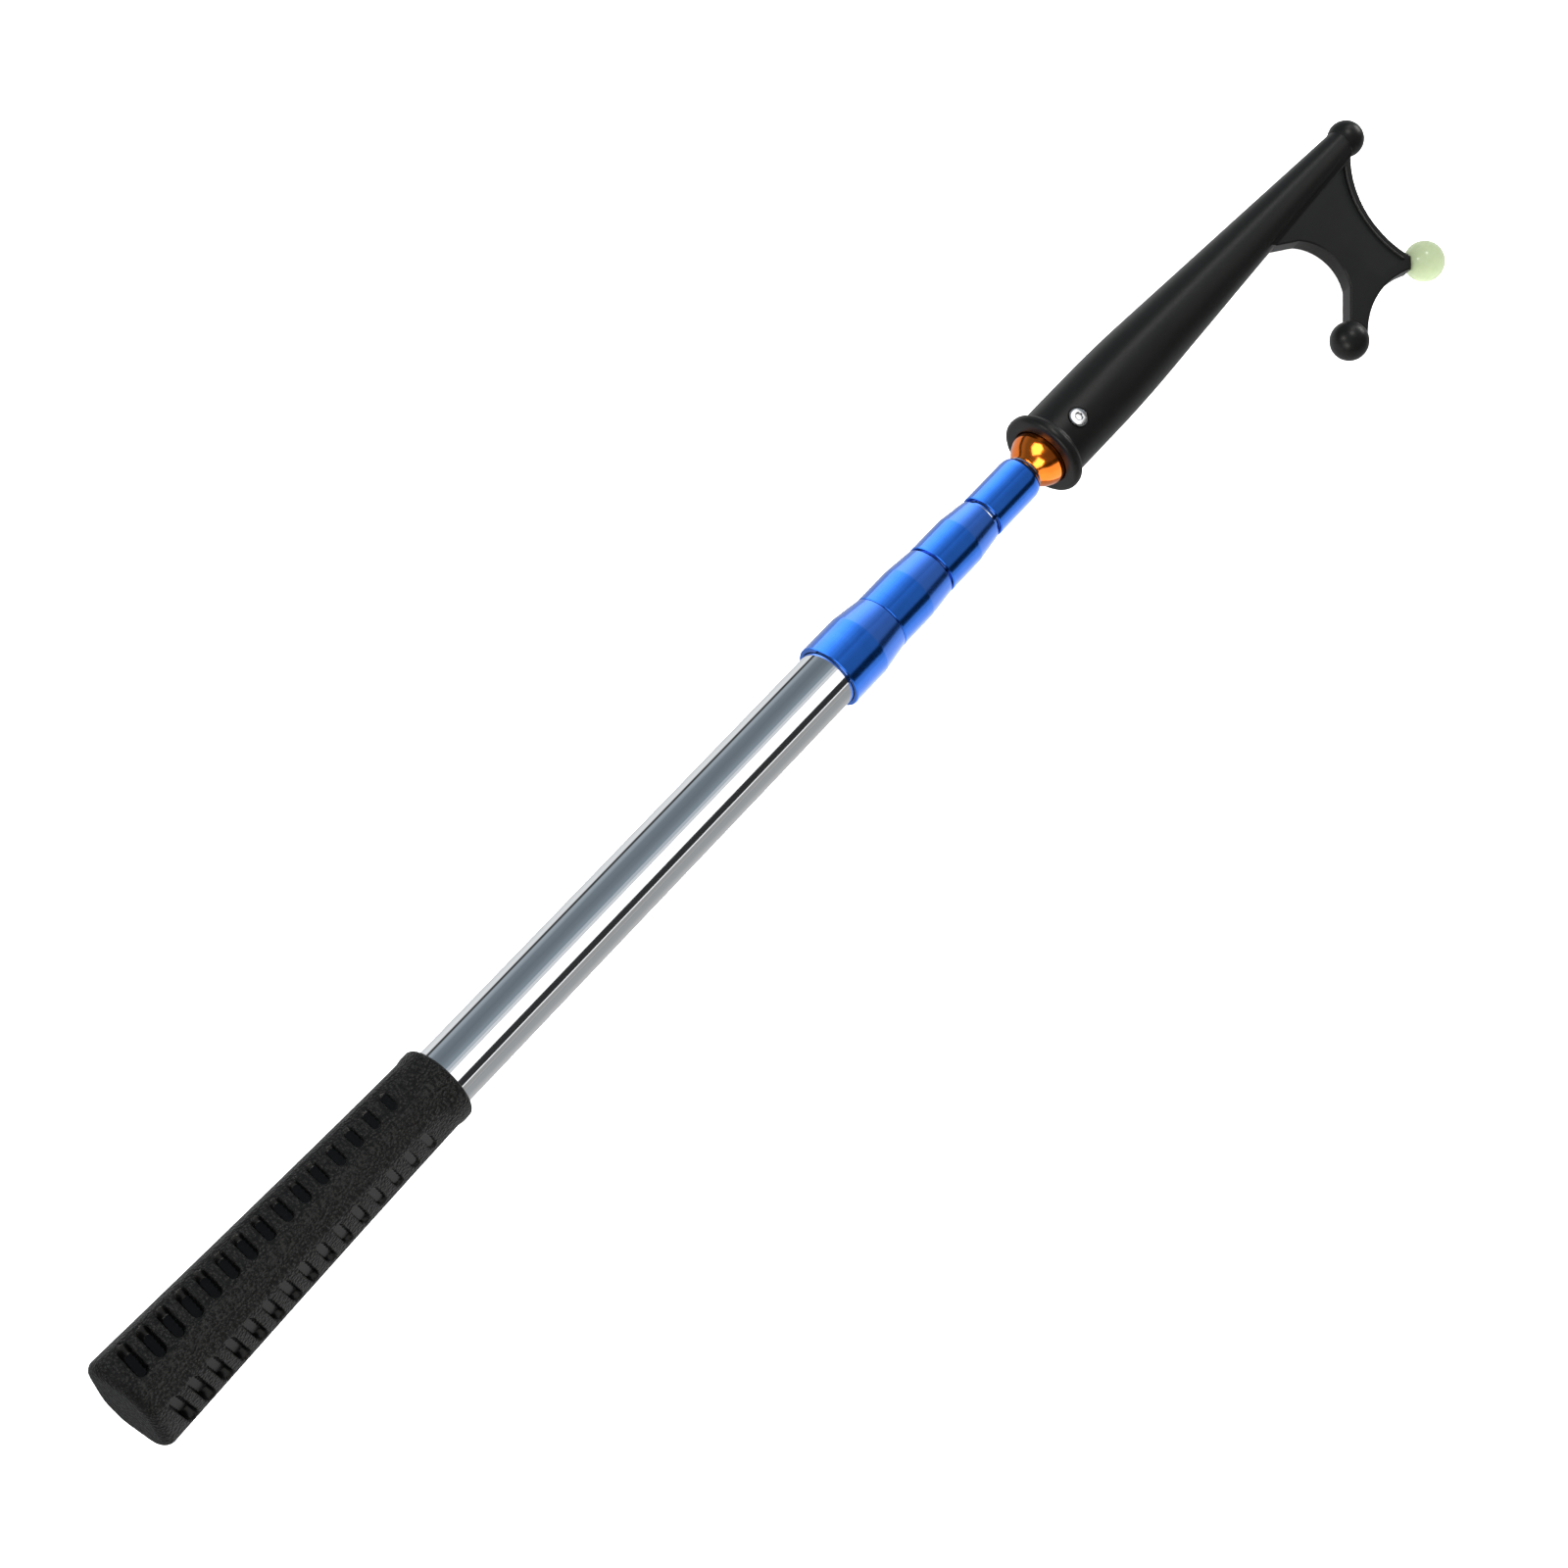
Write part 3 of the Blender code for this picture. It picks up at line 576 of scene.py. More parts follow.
# %% The collars
FIT = 0.3 * MM
COLLAR_WALL = 2.05 * MM
COLLAR_BARRELS = [18.8 * MM, 17.9 * MM, 18.1 * MM]
COLLAR_LIP = 1.5 * MM
COLLAR_CHAMFER = 0.4 * MM
MOUTH_WALL = 0.9 * MM
CREASE = 0.1 * MM
CHAMFER_ROUND = 0.12 * MM


def lower_edge(seat, radius):
    """Corners of a chamfered lower end, from the seat for the tube to the outside."""
    chamfered = radius - COLLAR_CHAMFER
    return [(0.0, seat, CREASE), (0.0, chamfered, CHAMFER_ROUND), (COLLAR_CHAMFER, radius, CHAMFER_ROUND)]


def collar(number, barrel):
    node = f"collar_{number}"
    start = start_of(node)
    length = end_of(node) - start
    seat = TUBE_RADII[number - 1] + FIT
    radius = radius_of(node)
    mouth = TUBE_RADII[number] + FIT
    end = TUBE_RADII[number] + COLLAR_WALL
    pocket = end - MOUTH_WALL
    corners = lower_edge(seat, radius) + [
        (barrel, radius, 0.5 * MM),
        (length, end, 0.3 * MM),
        (length, mouth, BROKEN_EDGE),
        (length - COLLAR_LIP, mouth, CREASE),
        (length - COLLAR_LIP, pocket, 0.0),
        (barrel + FIT, pocket, 0.0),
        (barrel + FIT, seat, 0.0),
    ]
    made = turned_piece(f"anodised_collar_{number}", corners, node, start)
    taper = made.data.attributes.new("taper", "FLOAT", "FACE")
    taper.data.foreach_set("value", [face.center.x > start + barrel for face in made.data.polygons])
    return made


collars = [collar(index + 1, barrel) for index, barrel in enumerate(COLLAR_BARRELS)]


# %% [markdown]
# ## Tip ferrule and washer
# The last tube ends in a blue cap with a well-rounded nose and a hole for the adapter's
# stud. A thin bright washer lies between the cap and the adapter.

# %% The ferrule and the washer
FERRULE_ROUND = 5.0 * MM
FERRULE_END_WALL = 5.0 * MM
INSERT_WALL = 2.3 * MM
STUD_RADIUS = TUBE_BORES[3] - 2 * FIT - INSERT_WALL


def ferrule():
    start = start_of("tip_ferrule")
    length = end_of("tip_ferrule") - start
    radius = radius_of("tip_ferrule")
    seat = TUBE_RADII[3] + FIT
    hole = STUD_RADIUS + FIT
    corners = lower_edge(seat, radius) + [
        (length, radius, FERRULE_ROUND),
        (length, hole, 0.3 * MM),
        (length - FERRULE_END_WALL, hole, 0.0),
        (length - FERRULE_END_WALL, seat, 0.0),
    ]
    return turned_piece("anodised_tip_cap", corners, "tip_ferrule", start)


tip_cap = ferrule()
sleeve("bright_seal_washer", "seal_washer", STUD_RADIUS + FIT, CREASE, 0.35 * MM)


# %% [markdown]
# ## Cutting one mesh with another
# The adapter and the hook have holes and joins that no lathe makes. A Boolean modifier does
# them. Its result is written back to the mesh at once, so the cutter can be thrown away and
# the next cut starts from clean geometry.

# %% Boolean helper and cutters
def carve(target, shape, operation):
    """Joins or cuts an object with a bmesh."""
    tool = solid(shape, "tool")
    modifier = target.modifiers.new("carve", "BOOLEAN")
    modifier.operation = operation
    modifier.solver = "EXACT"
    modifier.object = tool
    bpy.context.view_layer.update()
    evaluated = target.evaluated_get(bpy.context.evaluated_depsgraph_get())
    result = bpy.data.meshes.new_from_object(evaluated)
    target.modifiers.clear()
    old = target.data
    target.data = result
    bpy.data.meshes.remove(old)
    bpy.data.objects.remove(tool)


def rod(start, end, radius, sides=48):
    """A bmesh cylinder between two points."""
    shape = bmesh.new()
    along = Vector(end) - Vector(start)
    bmesh.ops.create_cone(
        shape, cap_ends=True, segments=sides, radius1=radius, radius2=radius, depth=along.length
    )
    turn = ZENITH.rotation_difference(along).to_matrix().to_4x4()
    middle = Matrix.Translation((Vector(start) + Vector(end)) / 2)
    bmesh.ops.transform(shape, matrix=middle @ turn, verts=shape.verts)
    return shape


def ball(centre, radius, sides=96):
    shape = bmesh.new()
    bmesh.ops.create_uvsphere(shape, u_segments=sides, v_segments=sides // 2, radius=radius)
    bmesh.ops.transform(shape, matrix=Matrix.Translation(centre), verts=shape.verts)
    return shape


# %% [markdown]
# ## The orange adapter
# One turned part: a threaded stud that screws into the pole, a cone that shows between the
# pole and the hook, and a hollow spigot inside the hook's socket. The cone bulges slightly,
# as a polished edge does, so it shows more than one highlight. The working model has a
# plain stud. Here a real thread is cut by pushing each point of the stud in by an amount
# that follows the helix, so it reads right when the head is unscrewed. Its pitch is the
# distance that the head travels in one turn, which the record's joints give.

# %% The adapter
CONE_LENGTH = 7.8 * MM
CONE_LAND = 1.0 * MM
SPIGOT_WALL = 3.4 * MM
SPIGOT_FLOOR = 10.0 * MM
THREAD_DEPTH = 0.75 * MM
THREAD_STEP = 0.15 * MM
THREAD_FLAT = 1.6
THREAD_FLANK = 5.2
SCREW_X = centre_of("cross_screw").x
CROSS_HOLE_RADIUS = 2.3 * MM
CHAMFER = 0.5 * MM
joints = {joint["name"]: joint for joint in record["behaviour"]["joints"]}
turns = math.radians(joints["unscrew_head"]["range_deg"][1]) / math.tau
PITCH = joints["head_travel"]["range_m"][1] / turns
print(f"thread pitch {PITCH / MM:.2f} mm, from {turns:.0f} turns")


def cut_thread(shape, start, end):
    """Presses a helical groove into the points of a stud."""
    for vert in shape.verts:
        x, y, z = vert.co
        radius = math.hypot(y, z)
        if not start < x < end or radius < STUD_RADIUS * 0.98 or radius > STUD_RADIUS * 1.02:
            continue
        phase = ((x - start) / PITCH - math.atan2(z, y) / math.tau) % 1.0
        groove = min(1.0, max(0.0, THREAD_FLAT - abs(phase - 0.5) * THREAD_FLANK))
        runout = min(1.0, (x - start) / PITCH, (end - x) / PITCH)
        share = 1.0 - THREAD_DEPTH * groove * runout / radius
        vert.co = (x, y * share, z * share)


def adapter():
    node = "thread_adapter"
    tip = start_of(node)
    cone = end_of("seal_washer") + FIT
    end = end_of(node)
    radius = radius_of(node)
    base = radius_of("seal_washer") - 0.6 * MM
    bore = radius - SPIGOT_WALL
    floor = cone + CONE_LENGTH + CONE_LAND + SPIGOT_FLOOR
    corners = [
        (tip, 0.0, 0.0),
        (tip, STUD_RADIUS - CHAMFER, 0.0),
        (tip + CHAMFER, STUD_RADIUS, 0.0),
        (cone, STUD_RADIUS, 0.0),
        (cone, base, 0.25 * MM),
        (cone + 0.4 * MM, base + 0.1 * MM, 0.15 * MM),
        (cone + 3.2 * MM, base + 2.9 * MM, 2.6 * MM),
        (cone + CONE_LENGTH - CONE_LAND, radius - CONE_LAND * 0.3, 0.5 * MM),
        (cone + CONE_LENGTH, radius, 0.4 * MM),
        (end, radius, CHAMFER),
        (end, bore, CHAMFER),
        (floor, bore, 1.0 * MM),
        (floor, 0.0, 0.0),
    ]
    points = rounded(corners)
    stud = [point for point in points if point.x <= cone and point.y <= STUD_RADIUS]
    shape = lathe(divided(stud, THREAD_STEP) + points[len(stud):])
    cut_thread(shape, tip + CHAMFER, cone - 1.0 * MM)
    made = solid(shape, "orange_adapter")
    carve(made, rod((SCREW_X, 0.0, 0.0), (SCREW_X, 0.0, radius * 1.2), CROSS_HOLE_RADIUS), "DIFFERENCE")
    return piece(made, node)


orange_adapter = adapter()


# %% [markdown]
# ## The nylon hook: the turned part
# The hook is one moulding, but it is easiest to make the way a pattern maker would: turn the
# round parts, cut the flat web from sheet, and join them. The round part is a socket with a
# rounded flange, a long taper, and a ball at the tip.

# %% Socket, taper and tip
HEAD = "hook_head"
TIP_BALL_RADIUS = 8.05 * MM
TIP_BALL_SINK = 4.3 * MM
TIP_X = end_of(HEAD) - TIP_BALL_RADIUS
FLANGE_X = start_of(HEAD)
FLANGE_RADIUS = radius_of(HEAD)
FLANGE_LENGTH = 4.6 * MM
SOCKET_RADIUS = FLANGE_RADIUS - 2.8 * MM
SOCKET_BORE = radius_of("thread_adapter") + FIT
NOSE_LENGTH = 163.0 * MM
NOSE_END = TIP_X - TIP_BALL_SINK
NOSE_X = NOSE_END - NOSE_LENGTH
CONE_END_RADIUS = 6.55 * MM
LONG_ROUND = 18.0 * MM
FLANGE_ROUND = 2.2 * MM
NECK_ROUND = 0.4 * MM


def taper_radius(x):
    """Radius of the head's taper at a place along the pole."""
    share = (x - NOSE_X) / NOSE_LENGTH
    return SOCKET_RADIUS + (CONE_END_RADIUS - SOCKET_RADIUS) * share


def head_profile():
    bore_end = end_of("thread_adapter") + FIT
    neck = FLANGE_X + FLANGE_LENGTH
    corners = [
        (bore_end, 0.0, 0.0),
        (bore_end, SOCKET_BORE, 0.8 * MM),
        (FLANGE_X, SOCKET_BORE, 0.5 * MM),
        (FLANGE_X, FLANGE_RADIUS, FLANGE_ROUND),
        (neck, FLANGE_RADIUS, FLANGE_ROUND),
        (neck, SOCKET_RADIUS + 0.7 * MM, NECK_ROUND),
        (neck + 1.4 * MM, SOCKET_RADIUS + 0.5 * MM, NECK_ROUND),
        (neck + 2.0 * MM, SOCKET_RADIUS, NECK_ROUND),
        (NOSE_X, SOCKET_RADIUS, LONG_ROUND),
        (NOSE_END, CONE_END_RADIUS, 0.0),
        (NOSE_END, 0.0, 0.0),
    ]
    return divided(rounded(corners), 4.0 * MM)


nylon_hook = solid(lathe(head_profile()), "nylon_hook")
carve(nylon_hook, ball((TIP_X, 0.0, 0.0), TIP_BALL_RADIUS), "UNION")
print(f"taper from {SOCKET_RADIUS / MM:.2f} to {CONE_END_RADIUS / MM:.2f} mm radius")


# %% [markdown]
# ## The nylon hook: the web
# The web's edge is all arcs: the bight that takes a rope, the concave nose, and a scallop
# under the prong. Its long edges are slightly rounded, so the outline is stacked in layers
# that shrink towards both faces. Places on it are measured from the tip ball.

# %% Outline of the web
WEB_THICKNESS = 8.2 * MM
WEB_ROUND = 0.7 * MM
HOOK_BALL = Vector((-74.5, -60.1)) * MM
HOOK_BALL_RADIUS = 8.45 * MM
BIGHT_CENTRE = Vector((-72.4, -30.9)) * MM
BIGHT_RADIUS = 20.7 * MM
BIGHT_MOUTH = Vector((-71.4, -8.2)) * MM
PRONG_END = Vector((-74.5, -58.2)) * MM
NOSE_CENTRE = Vector((19.1, -42.4)) * MM
NOSE_RADIUS = 44.4 * MM
SCALLOP_CENTRE = Vector((-43.7, -93.6)) * MM
SCALLOP_RADIUS = 38.4 * MM
TIP = Vector((TIP_X, 0.0))


def arc(centre, radius, start, end, steps):
    """Points of an arc about a centre, from one angle to another in degrees."""
    turns = [math.radians(start + (end - start) * step / steps) for step in range(steps + 1)]
    return [TIP + centre + radius * Vector((math.cos(turn), math.sin(turn))) for turn in turns]


def web_outline():
    """The edge of the web, from the taper round the bight, the prong and the nose."""
    outline = [TIP + BIGHT_MOUTH]
    outline += arc(BIGHT_CENTRE, BIGHT_RADIUS, 47.0, -41.0, 44)
    outline += [TIP + PRONG_END, TIP + HOOK_BALL]
    outline += arc(SCALLOP_CENTRE, SCALLOP_RADIUS, 129.0, 66.0, 40)
    outline += arc(NOSE_CENTRE, NOSE_RADIUS, 196.0, 124.0, 48)
    outline.append(TIP + Vector((-CONE_END_RADIUS, 0.0)))
    outline.append(TIP + Vector((BIGHT_MOUTH.x, -2.6 * MM)))
    return outline


def shrunk(outline, depth):
    """An outline with each corner moved inwards."""
    result = []
    for index, point in enumerate(outline):
        before = (point - outline[index - 1]).normalized()
        after = (outline[(index + 1) % len(outline)] - point).normalized()
        along = (before + after).normalized()
        result.append(point + Vector((-along.y, along.x)) * depth)
    return result


def plate(outline, thickness, soft=0.0, steps=4):
    """A flat plate on both sides of the pole's plane, with its edges rounded."""
    half = thickness / 2
    shape = bmesh.new()
    turns = np.linspace(0.0, math.pi / 2, steps + 1 if soft else 1)
    levels = [(half - soft * (1 - math.sin(turn)), soft * (1 - math.cos(turn))) for turn in turns]
    levels = [(-height, depth) for height, depth in reversed(levels)] + levels
    rings = []
    for height, depth in levels:
        rings.append([shape.verts.new((*point, height)) for point in shrunk(outline, depth)])
    return skin(shape, rings)


hook_centre = Vector((*(TIP + HOOK_BALL), 0.0))
carve(nylon_hook, plate(web_outline(), WEB_THICKNESS, WEB_ROUND), "UNION")
carve(nylon_hook, ball(hook_centre, HOOK_BALL_RADIUS), "UNION")
print("points round the web:", len(web_outline()))


# %% [markdown]
# ## The nylon hook: root, panel and bead
# Where the web grows out of the taper the mould leaves a sloping root on both sides, which
# stops at the web's own edge. Each face also has a shallow panel: a plane that tilts down
# towards the nose, so it starts from nothing and ends in a small step, with a bead along it.

# %% Root of the web
ROOT_ANGLE = math.radians(35.0)
ROOT_START = -72.0 * MM
ROOT_END = -5.2 * MM


def web_root():
    """A prism along the taper, from the taper's flank down to the web's face."""
    shape = bmesh.new()
    rings = []
    for x in (TIP_X + ROOT_START, TIP_X + ROOT_END):
        radius = taper_radius(x)
        flank_y = -radius * math.sin(ROOT_ANGLE)
        flank_z = radius * math.cos(ROOT_ANGLE)
        foot_y = -radius
        foot_z = WEB_THICKNESS / 2
        section = [(flank_y, flank_z), (foot_y, foot_z), (foot_y, -foot_z), (flank_y, -flank_z)]
        rings.append([shape.verts.new((x, y, z)) for y, z in section])
    return skin(shape, rings)


root = solid(web_root(), "root")
carve(root, plate(web_outline(), 4 * WEB_THICKNESS), "INTERSECT")
root_shape = bmesh.new()
root_shape.from_mesh(root.data)
bpy.data.objects.remove(root)
carve(nylon_hook, root_shape, "UNION")


# %% Panels and beads
PANEL_EDGE = 47.5 * MM
PANEL_START = -42.3 * MM
PANEL_SLOPE = 0.034
PANEL_FOOT_CENTRE = Vector((-43.4, -105.3)) * MM
PANEL_FOOT_RADIUS = 54.0 * MM
PANEL_RUN_UP = 3.0 * MM
BEAD_RADIUS = 0.5 * MM
BEAD_SINK = 0.2 * MM
BEAD_SIDES = 12


def panel_outline():
    """The edge of the tilted panel: along the taper, down the nose and back at the foot."""
    outline = [TIP + Vector((PANEL_START - PANEL_RUN_UP, -8.9 * MM))]
    outline += arc(NOSE_CENTRE, PANEL_EDGE, 133.2, 192.8, 40)
    outline += arc(PANEL_FOOT_CENTRE, PANEL_FOOT_RADIUS, 72.4, 92.0, 12)
    outline.append(TIP + Vector((PANEL_START - PANEL_RUN_UP, -51.3 * MM)))
    return outline


def panel_cutter(side):
    """A wedge that leaves the tilted panel on one face of the web."""
    face = WEB_THICKNESS / 2
    shape = bmesh.new()
    floor = []
    top = []
    for point in panel_outline():
        depth = PANEL_SLOPE * (point.x - TIP_X - PANEL_START)
        floor.append(shape.verts.new((*point, side * (face - depth))))
        top.append(shape.verts.new((*point, side * face * 2)))
    return skin(shape, [floor, top])


def bead(side):
    """A half-round bead along the panel's edge, with round ends."""
    path = arc(NOSE_CENTRE, PANEL_EDGE, 134.0, 192.6, 48)
    height = side * (WEB_THICKNESS / 2 - BEAD_SINK)
    shape = bmesh.new()
    rings = []
    for index, point in enumerate(path):
        outward = (point - TIP - NOSE_CENTRE).normalized()
        ring = []
        for step in range(BEAD_SIDES):
            turn = math.tau * step / BEAD_SIDES
            sideways = outward * BEAD_RADIUS * math.cos(turn)
            ring.append(shape.verts.new((*(point + sideways), height + BEAD_RADIUS * math.sin(turn))))
        rings.append(ring)
    return skin(shape, rings)


for side in (1, -1):
    carve(nylon_hook, panel_cutter(side), "DIFFERENCE")
    carve(nylon_hook, bead(side), "UNION")


# %% [markdown]
# ## The nylon hook: seats for the ball and the screw
# The luminous ball sits on a peg in a round seat at the web's outer corner, and the cross
# screw lies in a counterbore in the socket.

# %% Seats and the peg
GLOW = "luminous_ball"
GLOW_CENTRE = centre_of(GLOW)
GLOW_RADIUS = radius_of(GLOW)
PEG_ROOT = Vector((TIP_X - 39.7 * MM, -38.9 * MM, 0.0))
PEG_RADIUS = 2.5 * MM
PEG_LENGTH = 14.0 * MM
PEG_PAST = 1.0 * MM
PEG_LINE = (GLOW_CENTRE - PEG_ROOT).normalized()
PEG_END = GLOW_CENTRE + PEG_LINE * PEG_PAST
CROSS_RECESS = 1.3 * MM
CROSS_HEAD_RADIUS = 4.2 * MM

carve(nylon_hook, ball(GLOW_CENTRE, GLOW_RADIUS + FIT), "DIFFERENCE")
carve(nylon_hook, rod(PEG_END - PEG_LINE * PEG_LENGTH, PEG_END, PEG_RADIUS, 32), "UNION")
seat = SOCKET_RADIUS - CROSS_RECESS
recess = rod((SCREW_X, 0.0, seat), (SCREW_X, 0.0, SOCKET_RADIUS * 1.5), CROSS_HEAD_RADIUS + FIT, 64)
carve(nylon_hook, recess, "DIFFERENCE")
hole = rod((SCREW_X, 0.0, SOCKET_BORE * 0.5), (SCREW_X, 0.0, SOCKET_RADIUS), CROSS_HOLE_RADIUS)
carve(nylon_hook, hole, "DIFFERENCE")
piece(nylon_hook, HEAD)


# %% [markdown]
# ## The luminous ball
# A ball with a blind hole is also a turned part, only its axis is the peg's line. Spinning
# the profile of ball and hole together gives an even mesh, and no Boolean is needed. The
# result is then turned from X to that line.

# %% The ball
BALL_STEPS = 48


def glow_ball():
    hole = PEG_RADIUS + FIT
    floor = PEG_PAST + FIT
    first = math.asin(hole / GLOW_RADIUS)
    corners = [Vector((floor, 0.0)), Vector((floor, hole))]
    for step in range(BALL_STEPS + 1):
        turn = first + (math.pi - first) * step / BALL_STEPS
        corners.append(Vector((-math.cos(turn), math.sin(turn))) * GLOW_RADIUS)
    corners[-1].y = 0.0
    shape = lathe(corners, 96)
    turn = Vector((1.0, 0.0, 0.0)).rotation_difference(PEG_LINE).to_matrix().to_4x4()
    bmesh.ops.transform(shape, matrix=Matrix.Translation(GLOW_CENTRE) @ turn, verts=shape.verts)
    return piece(solid(shape, "pale_glow_ball"), GLOW)


glow = glow_ball()


# %% [markdown]
# ## The cross screw
# A button-head screw pins the hook to the adapter. Its head is a low dome with a hexagon
# socket: the lathe makes the dome, and the points of the socket's wall are moved out to a
# hexagon.

# %% The screw
HEX_RADIUS = 1.55 * MM
HEX_DEPTH = 1.3 * MM
HEAD_HEIGHT = 2.0 * MM
SHANK_RADIUS = 2.0 * MM


def cross_screw():
    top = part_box("cross_screw")[1].z
    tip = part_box("cross_screw")[0].z
    seat_z = top - HEAD_HEIGHT
    corners = [
        (top - 1.5 * MM, 0.0, 0.0),
        (top - 1.25 * MM, HEX_RADIUS, 0.0),
        (top - 0.2 * MM, HEX_RADIUS, 0.0),
        (top - 0.02 * MM, HEX_RADIUS + 0.35 * MM, 0.12 * MM),
        (top - 0.15 * MM, 2.5 * MM, 0.3 * MM),
        (top - 0.5 * MM, 3.85 * MM, 0.5 * MM),
        (seat_z, CROSS_HEAD_RADIUS, 0.5 * MM),
        (seat_z, SHANK_RADIUS, CREASE),
        (tip, SHANK_RADIUS, CHAMFER),
        (tip, 0.0, 0.0),
    ]
    shape = lathe(rounded(corners), 72)
    for vert in shape.verts:
        x, y, z = vert.co
        if x > top - HEX_DEPTH and math.hypot(y, z) < HEX_RADIUS * 1.01:
            facing = (math.degrees(math.atan2(z, y)) + 30.0) % 60.0 - 30.0
            share = 0.95 / math.cos(math.radians(facing))
            vert.co = (x, y * share, z * share)
    upright = Matrix.Translation((SCREW_X, 0.0, 0.0)) @ Matrix.Rotation(-math.pi / 2, 4, "Y")
    bmesh.ops.transform(shape, matrix=upright, verts=shape.verts)
    return piece(solid(shape, "button_screw"), "cross_screw")


button_screw = cross_screw()


# %% [markdown]
# ## The grip: its section
# The rubber grip is a rounded square that swells towards the butt. Four smooth bands run
# along it, and between them lie four slightly lower faces with a row of pockets each. One
# formula gives the radius at any place and angle, so the mesh is a plain grid wrapped round
# the pole, which NumPy fills in one go.

# %% Bands and faces
GRIP = "rubber_grip"
GRIP_LENGTH = end_of(GRIP)
GRIP_BORE = TUBE_RADII[0] + FIT
GRIP_TOP_RADIUS = TUBE_RADII[0] + 3.0 * MM
GRIP_BUTT_RADIUS = TUBE_RADII[0] + 7.45 * MM
GRIP_END_WALL = 4.0 * MM
GRIP_FLARE = 1.25
GRIP_WAIST = 0.92
GRIP_BAND = 16.0
GRIP_ROLL = 9.0
GRIP_LIP = 0.5 * MM
GRIP_LIP_LENGTH = 6.0 * MM
GRIP_LIP_RAMP = 3.6 * MM
FACE_END = 16.0 * MM
FACE_FADE = 10.0 * MM
BUTT_DEPTH = 4.0 * MM
BUTT_ROUND = 4.2 * MM
TOP_ROUND = 1.6 * MM


def smooth(values):
    """A soft step from 0 to 1."""
    share = np.clip(values, 0.0, 1.0)
    return share * share * (3.0 - 2.0 * share)


def band_radius(x):
    share = np.clip(1.0 - x / GRIP_LENGTH, 0.0, 1.0)
    lip = smooth((x - GRIP_LENGTH + GRIP_LIP_LENGTH + GRIP_LIP_RAMP / 2) / GRIP_LIP_RAMP)
    return GRIP_TOP_RADIUS + (GRIP_BUTT_RADIUS - GRIP_TOP_RADIUS) * share**GRIP_FLARE + GRIP_LIP * lip


def from_face(angle):
    """Degrees from the middle of the nearest pocketed face."""
    return (angle % 90.0) - 45.0


def section(x, angle):
    """Radius of the grip before its pockets. The faces fade out into the lip."""
    from_band = 45.0 - np.abs(from_face(angle))
    share = np.clip((from_band - GRIP_BAND) / (45.0 - GRIP_BAND), 0.0, 1.0)
    fade = 1.0 - smooth((x - GRIP_LENGTH + FACE_END) / FACE_FADE)
    dip = (1.0 - GRIP_WAIST) * np.sin(share * math.pi / 2) * fade
    return band_radius(x) * (1.0 - dip)


end_radii = [round(float(band_radius(x)) / MM, 2) for x in (0.0, 0.15)]
print("grip radius at the butt and top in mm:", end_radii)


# %% [markdown]
# ## The grip: its pockets
# Each face has fifteen stadium-shaped pockets for the fingers. They are deep at the butt,
# where the rubber is thick, and shallow at the top. Their floors are flat, and the walls
# lean, so that the mould can let go. A distance to the stadium's edge says how far down the
# wall a point is.

# %% Pockets
POCKETS = 15
POCKET_FIRST = 11.3 * MM
POCKET_PITCH = 9.14 * MM
POCKET_FLOOR = 13.5 * MM
POCKET_LEAN = 0.26
POCKET_LEVEL = 13.0 * MM
HALF_WIDTHS = (2.75 * MM, 2.05 * MM)
HALF_ANGLES = (28.0, 20.0)
LEAST_WALL = 0.25 * MM
SIDE_DRAFT = 0.16
END_DRAFT = 0.22


def pocket_depth(x, angle, radius):
    """How far the pockets lower each point of the grip."""
    level = radius * np.abs(np.sin(np.radians(angle + GRIP_ROLL)))
    x = x - POCKET_LEAN * (POCKET_LEVEL - level)
    number = np.clip(np.round((x - POCKET_FIRST) / POCKET_PITCH), 0, POCKETS - 1)
    share = number / (POCKETS - 1)
    width = HALF_WIDTHS[0] + (HALF_WIDTHS[1] - HALF_WIDTHS[0]) * share
    length = np.radians(HALF_ANGLES[0] + (HALF_ANGLES[1] - HALF_ANGLES[0]) * share) * radius
    facing = np.radians(from_face(angle))
    along = np.abs(x - POCKET_FIRST - number * POCKET_PITCH)
    across = np.maximum(np.abs(facing) * radius - (length - width), 0.0)
    distance = np.hypot(along, across)
    floor = POCKET_FLOOR / np.cos(facing)
    depth = np.maximum(radius - floor, 0.0)
    end_wall = across / np.maximum(distance, 1e-9)
    wall = LEAST_WALL + depth * (SIDE_DRAFT + END_DRAFT * end_wall)
    return depth * smooth((width - distance) / wall)


# %% [markdown]
# ## The grip: its mesh
# The grid's rows follow the pole: a quarter round at the butt, close rows along the sleeve,
# another round at the lip, then the bore back down to the end wall. The grain attribute is
# 1 on the open rubber, 0 in the pockets and the bore, and more on the coarse, dull end face.

# %% Build the grip
COLUMNS = 300
ROW_STEP = 0.42 * MM
END_GRAIN = 2.2
GRAIN_FADE = 0.5 * MM
BORE_CHAMFER = 0.4 * MM


def outer_rows():
    """Where each row lies and how far its radius is pulled in."""
    turn = np.linspace(0.0, math.pi / 2, 13)
    butt = [(BUTT_DEPTH * (1 - math.cos(a)), BUTT_ROUND * (1 - math.sin(a))) for a in turn]
    count = round((GRIP_LENGTH - BUTT_DEPTH - TOP_ROUND) / ROW_STEP)
    middle = [(x, 0.0) for x in np.linspace(BUTT_DEPTH, GRIP_LENGTH - TOP_ROUND, count)[1:-1]]
    top_start = GRIP_LENGTH - TOP_ROUND
    top = [(top_start + TOP_ROUND * math.sin(a), TOP_ROUND * (1 - math.cos(a))) for a in turn[::2]]
    return butt + middle + top


